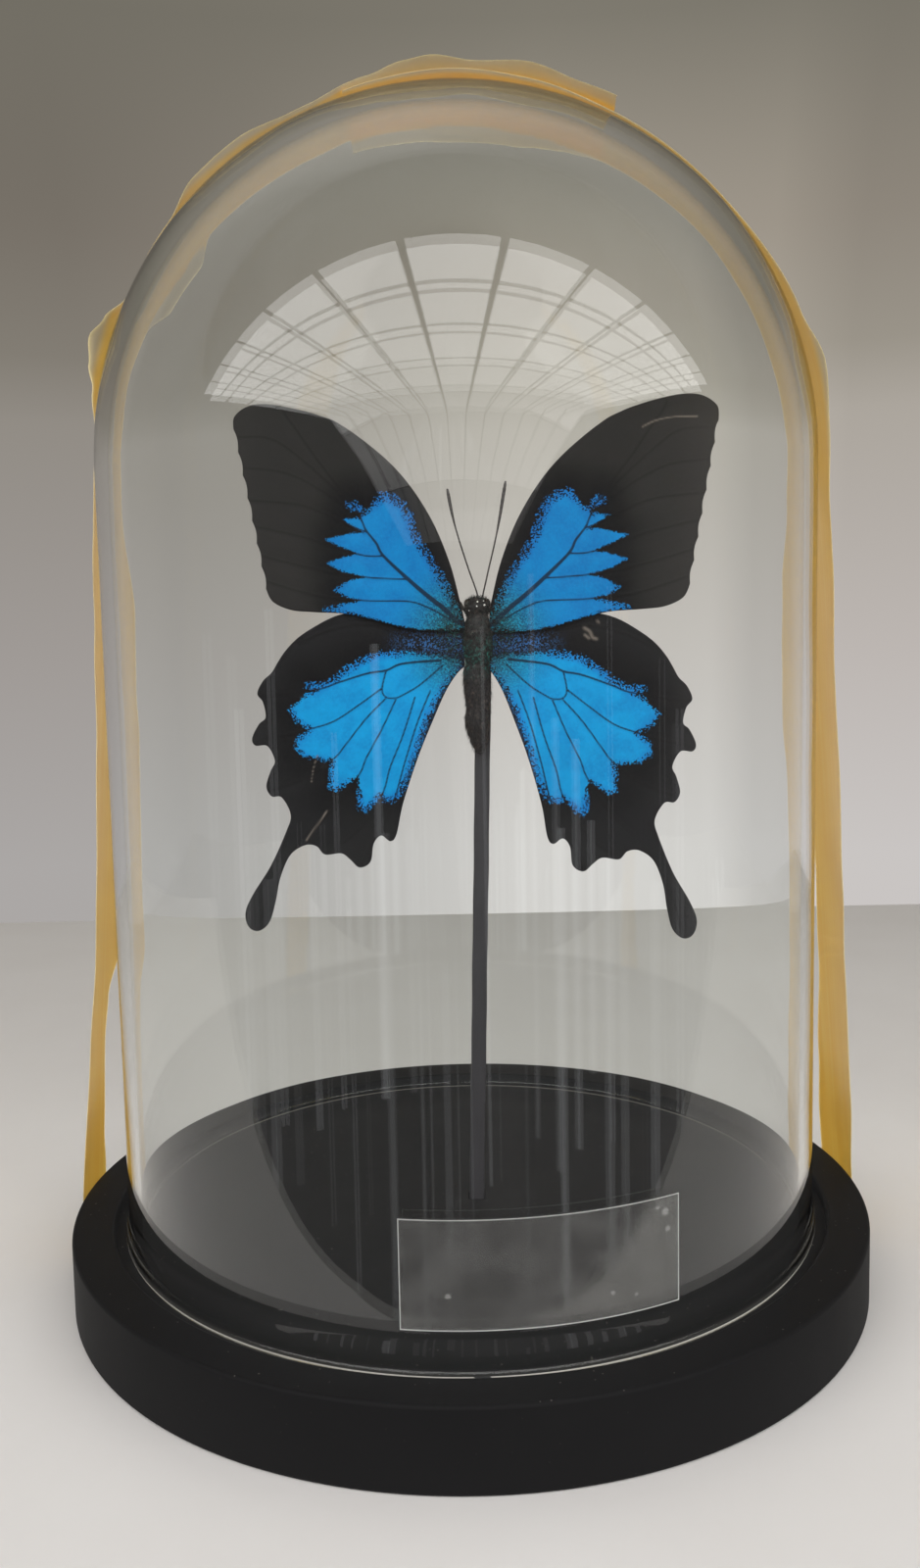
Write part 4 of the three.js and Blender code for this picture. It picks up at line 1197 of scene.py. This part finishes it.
# front and rear: where each edge runs, front to back. frontLift and rearLift: how far it stands off.
# stuckFrom and stuckTo: the film outside these lines has not taken to the glass, so it looks pale
strips = {
    "left_tape": {
        "side": -1,
        "reachEnd": 3.3,
        "rise": [(2.74, 0), (2.81, tape["lapGap"])],
        "front": [(0, -3.8), (1, -3.8), (1.2, -0.3), (1.32, 2.4), (1.43, 1.5), (1.62, -1.7),
                  (1.76, -6.7), (1.88, -12.5), (2.1, -16), (2.3, -20), (2.45, -26), (2.6, -32),
                  (2.75, -37), (2.86, -39.5), (3, -38.5), (3.1, -40), (3.3, -39)],
        "rear": [(0, 14.4), (1, 14.4), (1.07, 12.6), (1.2, 11.4), (1.26, 12.8), (1.32, 19),
                 (1.42, 16.8), (1.62, 15.4), (1.7, 12.6), (1.79, 12), (1.94, -1), (2.05, -3),
                 (2.15, -6), (2.24, -4.5), (2.32, 6.5), (2.42, 7), (2.48, -4), (2.75, -4), (2.86, -4),
                 (3, 3), (3.1, 6.3), (3.17, 6.3), (3.24, 3), (3.3, 0)],
        "frontLift": [(2.03, 0), (2.1, 1.5), (2.14, 3.4), (2.185, 4.8), (2.22, 2.9), (2.27, 0),
                      (2.42, 0), (2.5, 2), (2.6, 2), (2.7, 0.8), (2.78, 0.8), (2.85, 1.4), (2.92, 2.8),
                      (2.965, 3.3), (3.04, 2.2), (3.14, 3.3), (3.23, 2.3), (3.3, 2.5)],
        "rearLift": [(2.8, 0), (3, 0.5), (3.3, 0.5)],
        "stuckFrom": [(2.28, -60), (2.34, -24), (2.7, -28), (3.3, -28)],
        "stuckTo": [(2.2, 30), (2.25, -5), (2.38, -1.5), (2.44, -3), (2.5, 30), (2.76, 30), (2.79, -4),
                    (3.3, -3.5)],
    },
    "right_tape": {
        "side": 1,
        "reachEnd": 3.195,
        "rise": [(0, 0)],
        "front": [(0, -0.3), (1, -0.3), (1.12, -4.3), (1.31, -6.8), (1.42, -10.5), (1.61, -17.8),
                  (1.8, -24), (1.95, -27), (2.1, -30), (2.4, -33), (2.7, -36), (3.195, -36)],
        "rear": [(0, 20), (1.05, 20), (1.15, 18), (1.3, 14), (1.45, 12), (1.55, 12), (1.63, 14.5),
                 (1.72, 13), (1.82, 10.5), (1.92, 4), (2, 1), (2.15, 0), (2.3, -2), (2.45, -4.3),
                 (2.6, -3.5), (2.72, -3), (2.8, 2.5), (2.87, 6), (3, 6.5), (3.07, 5), (3.195, 3.2)],
        "frontLift": [(1.7, 0), (1.84, 1.1), (1.9, 1.2), (2, 2.3), (2.11, 3.4), (2.2, 1.5), (2.45, 0),
                      (2.7, 0.3), (2.85, 1), (3, 1.5), (3.15, 1), (3.195, 0.8)],
        "rearLift": [(0, 0)],
        "stuckFrom": [(2.05, -60), (2.15, -31), (3.195, -31)],
        "stuckTo": [(2.68, 30), (2.72, -3), (3, -4), (3.195, -4)],
    },
}
edgeRadius = base["radius"] + tape["gap"]
domeRadius = dome["radius"] + tape["gap"]
shoulderToCentre = dome["centreHeight"] - base["height"]
edgeToCentre = math.hypot(edgeRadius, shoulderToCentre)
shoulderAngle = math.acos(domeRadius / edgeToCentre) - math.atan2(shoulderToCentre, edgeRadius)


def onBaseSide(side, y, height):
    normal = np.array((side * math.sqrt(1 - (y / edgeRadius) ** 2), y / edgeRadius, 0))
    return normal * edgeRadius + np.array((0, 0, height)), normal


def onDome(side, y, angle):
    ring = math.sqrt(domeRadius ** 2 - y ** 2)
    point = np.array((side * ring * math.cos(angle), y, ring * math.sin(angle)))
    return point + np.array((0, 0, dome["centreHeight"])), point / np.linalg.norm(point)


def stripPlace(side, reach, y):
    if reach <= 1:
        return onBaseSide(side, y, tape["lowEnd"] + (base["height"] - tape["lowEnd"]) * reach)
    if reach < 2:
        low, lowNormal = onBaseSide(side, y, base["height"])
        high, highNormal = onDome(side, y, shoulderAngle)
        normal = lowNormal + (highNormal - lowNormal) * (reach - 1)
        return low + (high - low) * (reach - 1), normal / np.linalg.norm(normal)
    return onDome(side, y, shoulderAngle + (reach - 2) * (math.pi / 2 - shoulderAngle))


# packing tape: biaxial polypropylene with tan adhesive, streaked lengthwise, milky where unstuck
def amberFilm():
    material, tree, shader = newMaterial("tanPackingTape")
    where = add(tree, "ShaderNodeUVMap", None, 0, uv_map="alongTape")
    drawn = add(tree, "ShaderNodeMapping", {"Vector": where, "Scale": (0.012, 1, 1)}, 0)
    streak = add(tree, "ShaderNodeTexNoise", {"Vector": drawn, "Scale": grain(1.111), "Detail": 3}, "Fac")
    blotch = add(tree, "ShaderNodeTexNoise", {"Vector": where, "Scale": grain(16.67), "Detail": 2}, "Fac")
    loose = add(tree, "ShaderNodeAttribute", None, "Fac", attribute_name="unstuck")
    edge = add(tree, "ShaderNodeAttribute", None, "Fac", attribute_name="cutEdge")
    streaked = add(tree, "ShaderNodeMapRange", {0: streak, 1: 0.3, 2: 0.7}, 0, **smoothly)
    blotched = add(tree, "ShaderNodeMapRange", {0: blotch, 1: 0.35, 2: 0.7, 3: 0, 4: 0.5}, 0, **smoothly)
    colour = srgb("#F4C852")
    for share, tone in ((streaked, "#FAD76E"), (blotched, "#ECBE4C"), (loose, "#EBDDBB"),
                        (edge, "#F5E7B8")):
        colour = add(tree, "ShaderNodeMix", {0: share, 6: colour, 7: srgb(tone)}, 2, **inColour)
    clear = add(tree, "ShaderNodeMapRange", {0: loose, 1: 0, 2: 1, 3: 0.84, 4: 0.96}, 0, **smoothly)
    milky = add(tree, "ShaderNodeMath", {0: edge, 1: 0.35}, 0, **times)
    clear = add(tree, "ShaderNodeMath", {0: clear, 1: milky}, 0, **minus)
    relief = add(tree, "ShaderNodeBump", {"Height": streak, "Distance": 0.03 / 1000, "Strength": 0.5}, 0)
    feed(tree, shader, {"Base Color": colour, "IOR": 1.49, "Roughness": 0.3, "Transmission Weight": clear,
                        "Normal": relief})
    return material


def makeStrip(name, spec, material):
    reaches = [leg + i / count for leg, count in enumerate(tape["stations"]) for i in range(count)]
    reaches = [r for r in reaches if r < spec["reachEnd"] - tape["closestRows"]] + [spec["reachEnd"]]
    shares = np.array([0, 0.012, *np.linspace(0.04, 0.96, tape["columns"] - 4), 0.988, 1])
    columns = len(shares)
    middle = np.zeros((len(reaches), columns, 3))
    normals = np.zeros_like(middle)
    unstuck, cutEdge = np.zeros(middle.shape[:2]), np.zeros(middle.shape[:2])
    grid = np.zeros((*middle.shape[:2], 2))
    for i, reach in enumerate(reaches):
        front, rear = blendAlong(spec["front"], reach), blendAlong(spec["rear"], reach)
        stuckFrom, stuckTo = blendAlong(spec["stuckFrom"], reach), blendAlong(spec["stuckTo"], reach)
        for j, share in enumerate(shares):
            across = 2 * share - 1
            y = front + (rear - front) * share
            point, normal = stripPlace(spec["side"], reach, y)
            edgeLift = blendAlong(spec["frontLift" if across < 0 else "rearLift"], reach) * across ** 2
            middle[i, j] = point + normal * (blendAlong(spec["rise"], reach) + edgeLift)
            normals[i, j] = normal
            unstuck[i, j] = max(smoothStep(edgeLift, 1.2, 3.2), smoothStep(y, stuckTo, stuckTo + 0.8),
                                smoothStep(stuckFrom - y, -3, 3))
            halfWidth = (rear - front) / 2
            cutEdge[i, j] = smoothStep(abs(across) * halfWidth, halfWidth - tape["paleEdge"], halfWidth)
            grid[i, j] = reach * tape["reachLength"], y
    half = tape["thickness"] / 2
    piece = sheetBetween(f"{name}_strip", middle + normals * half, middle - normals * half)
    setAttribute(piece, "unstuck", np.concatenate([unstuck.ravel(), unstuck.ravel()]))
    setAttribute(piece, "cutEdge", np.concatenate([cutEdge.ravel(), cutEdge.ravel()]))
    flat = np.vstack([grid.reshape(-1, 2), grid.reshape(-1, 2)]) / 1000  # along and across, in metres
    uv = piece.data.uv_layers.new(name="alongTape")
    corners = np.zeros(len(piece.data.loops), np.int32)
    piece.data.loops.foreach_get("vertex_index", corners)
    uv.data.foreach_set("uv", flat[corners].astype(np.float32).ravel())
    piece.visible_shadow = False
    finishPiece(piece, material, [name])


# making it all

makeCamera()
makeLamps()
makeAir()
makeTable()
print("camera, light and floor done")
makeBase()
makeStem()
print("base and stick done")
makeDome()
print("dome done")
scatter = hairTree()
bristles = hairCover()
makeBody(scatter, bristles)
balls("compound_eyes", eyePlaces, compoundEye())
balls("head_dots", [(centre, (size, size * 0.6, size)) for centre, size in headDots],
      whiteScales())
makeLimbs()
print("body and limbs done")
makeWings(scatter, bristles)
makeLabel()
tapeFilm = amberFilm()
for name, spec in strips.items():
    makeStrip(name, spec, tapeFilm)
print("label and tape done")

scene.view_settings.view_transform = "Standard"
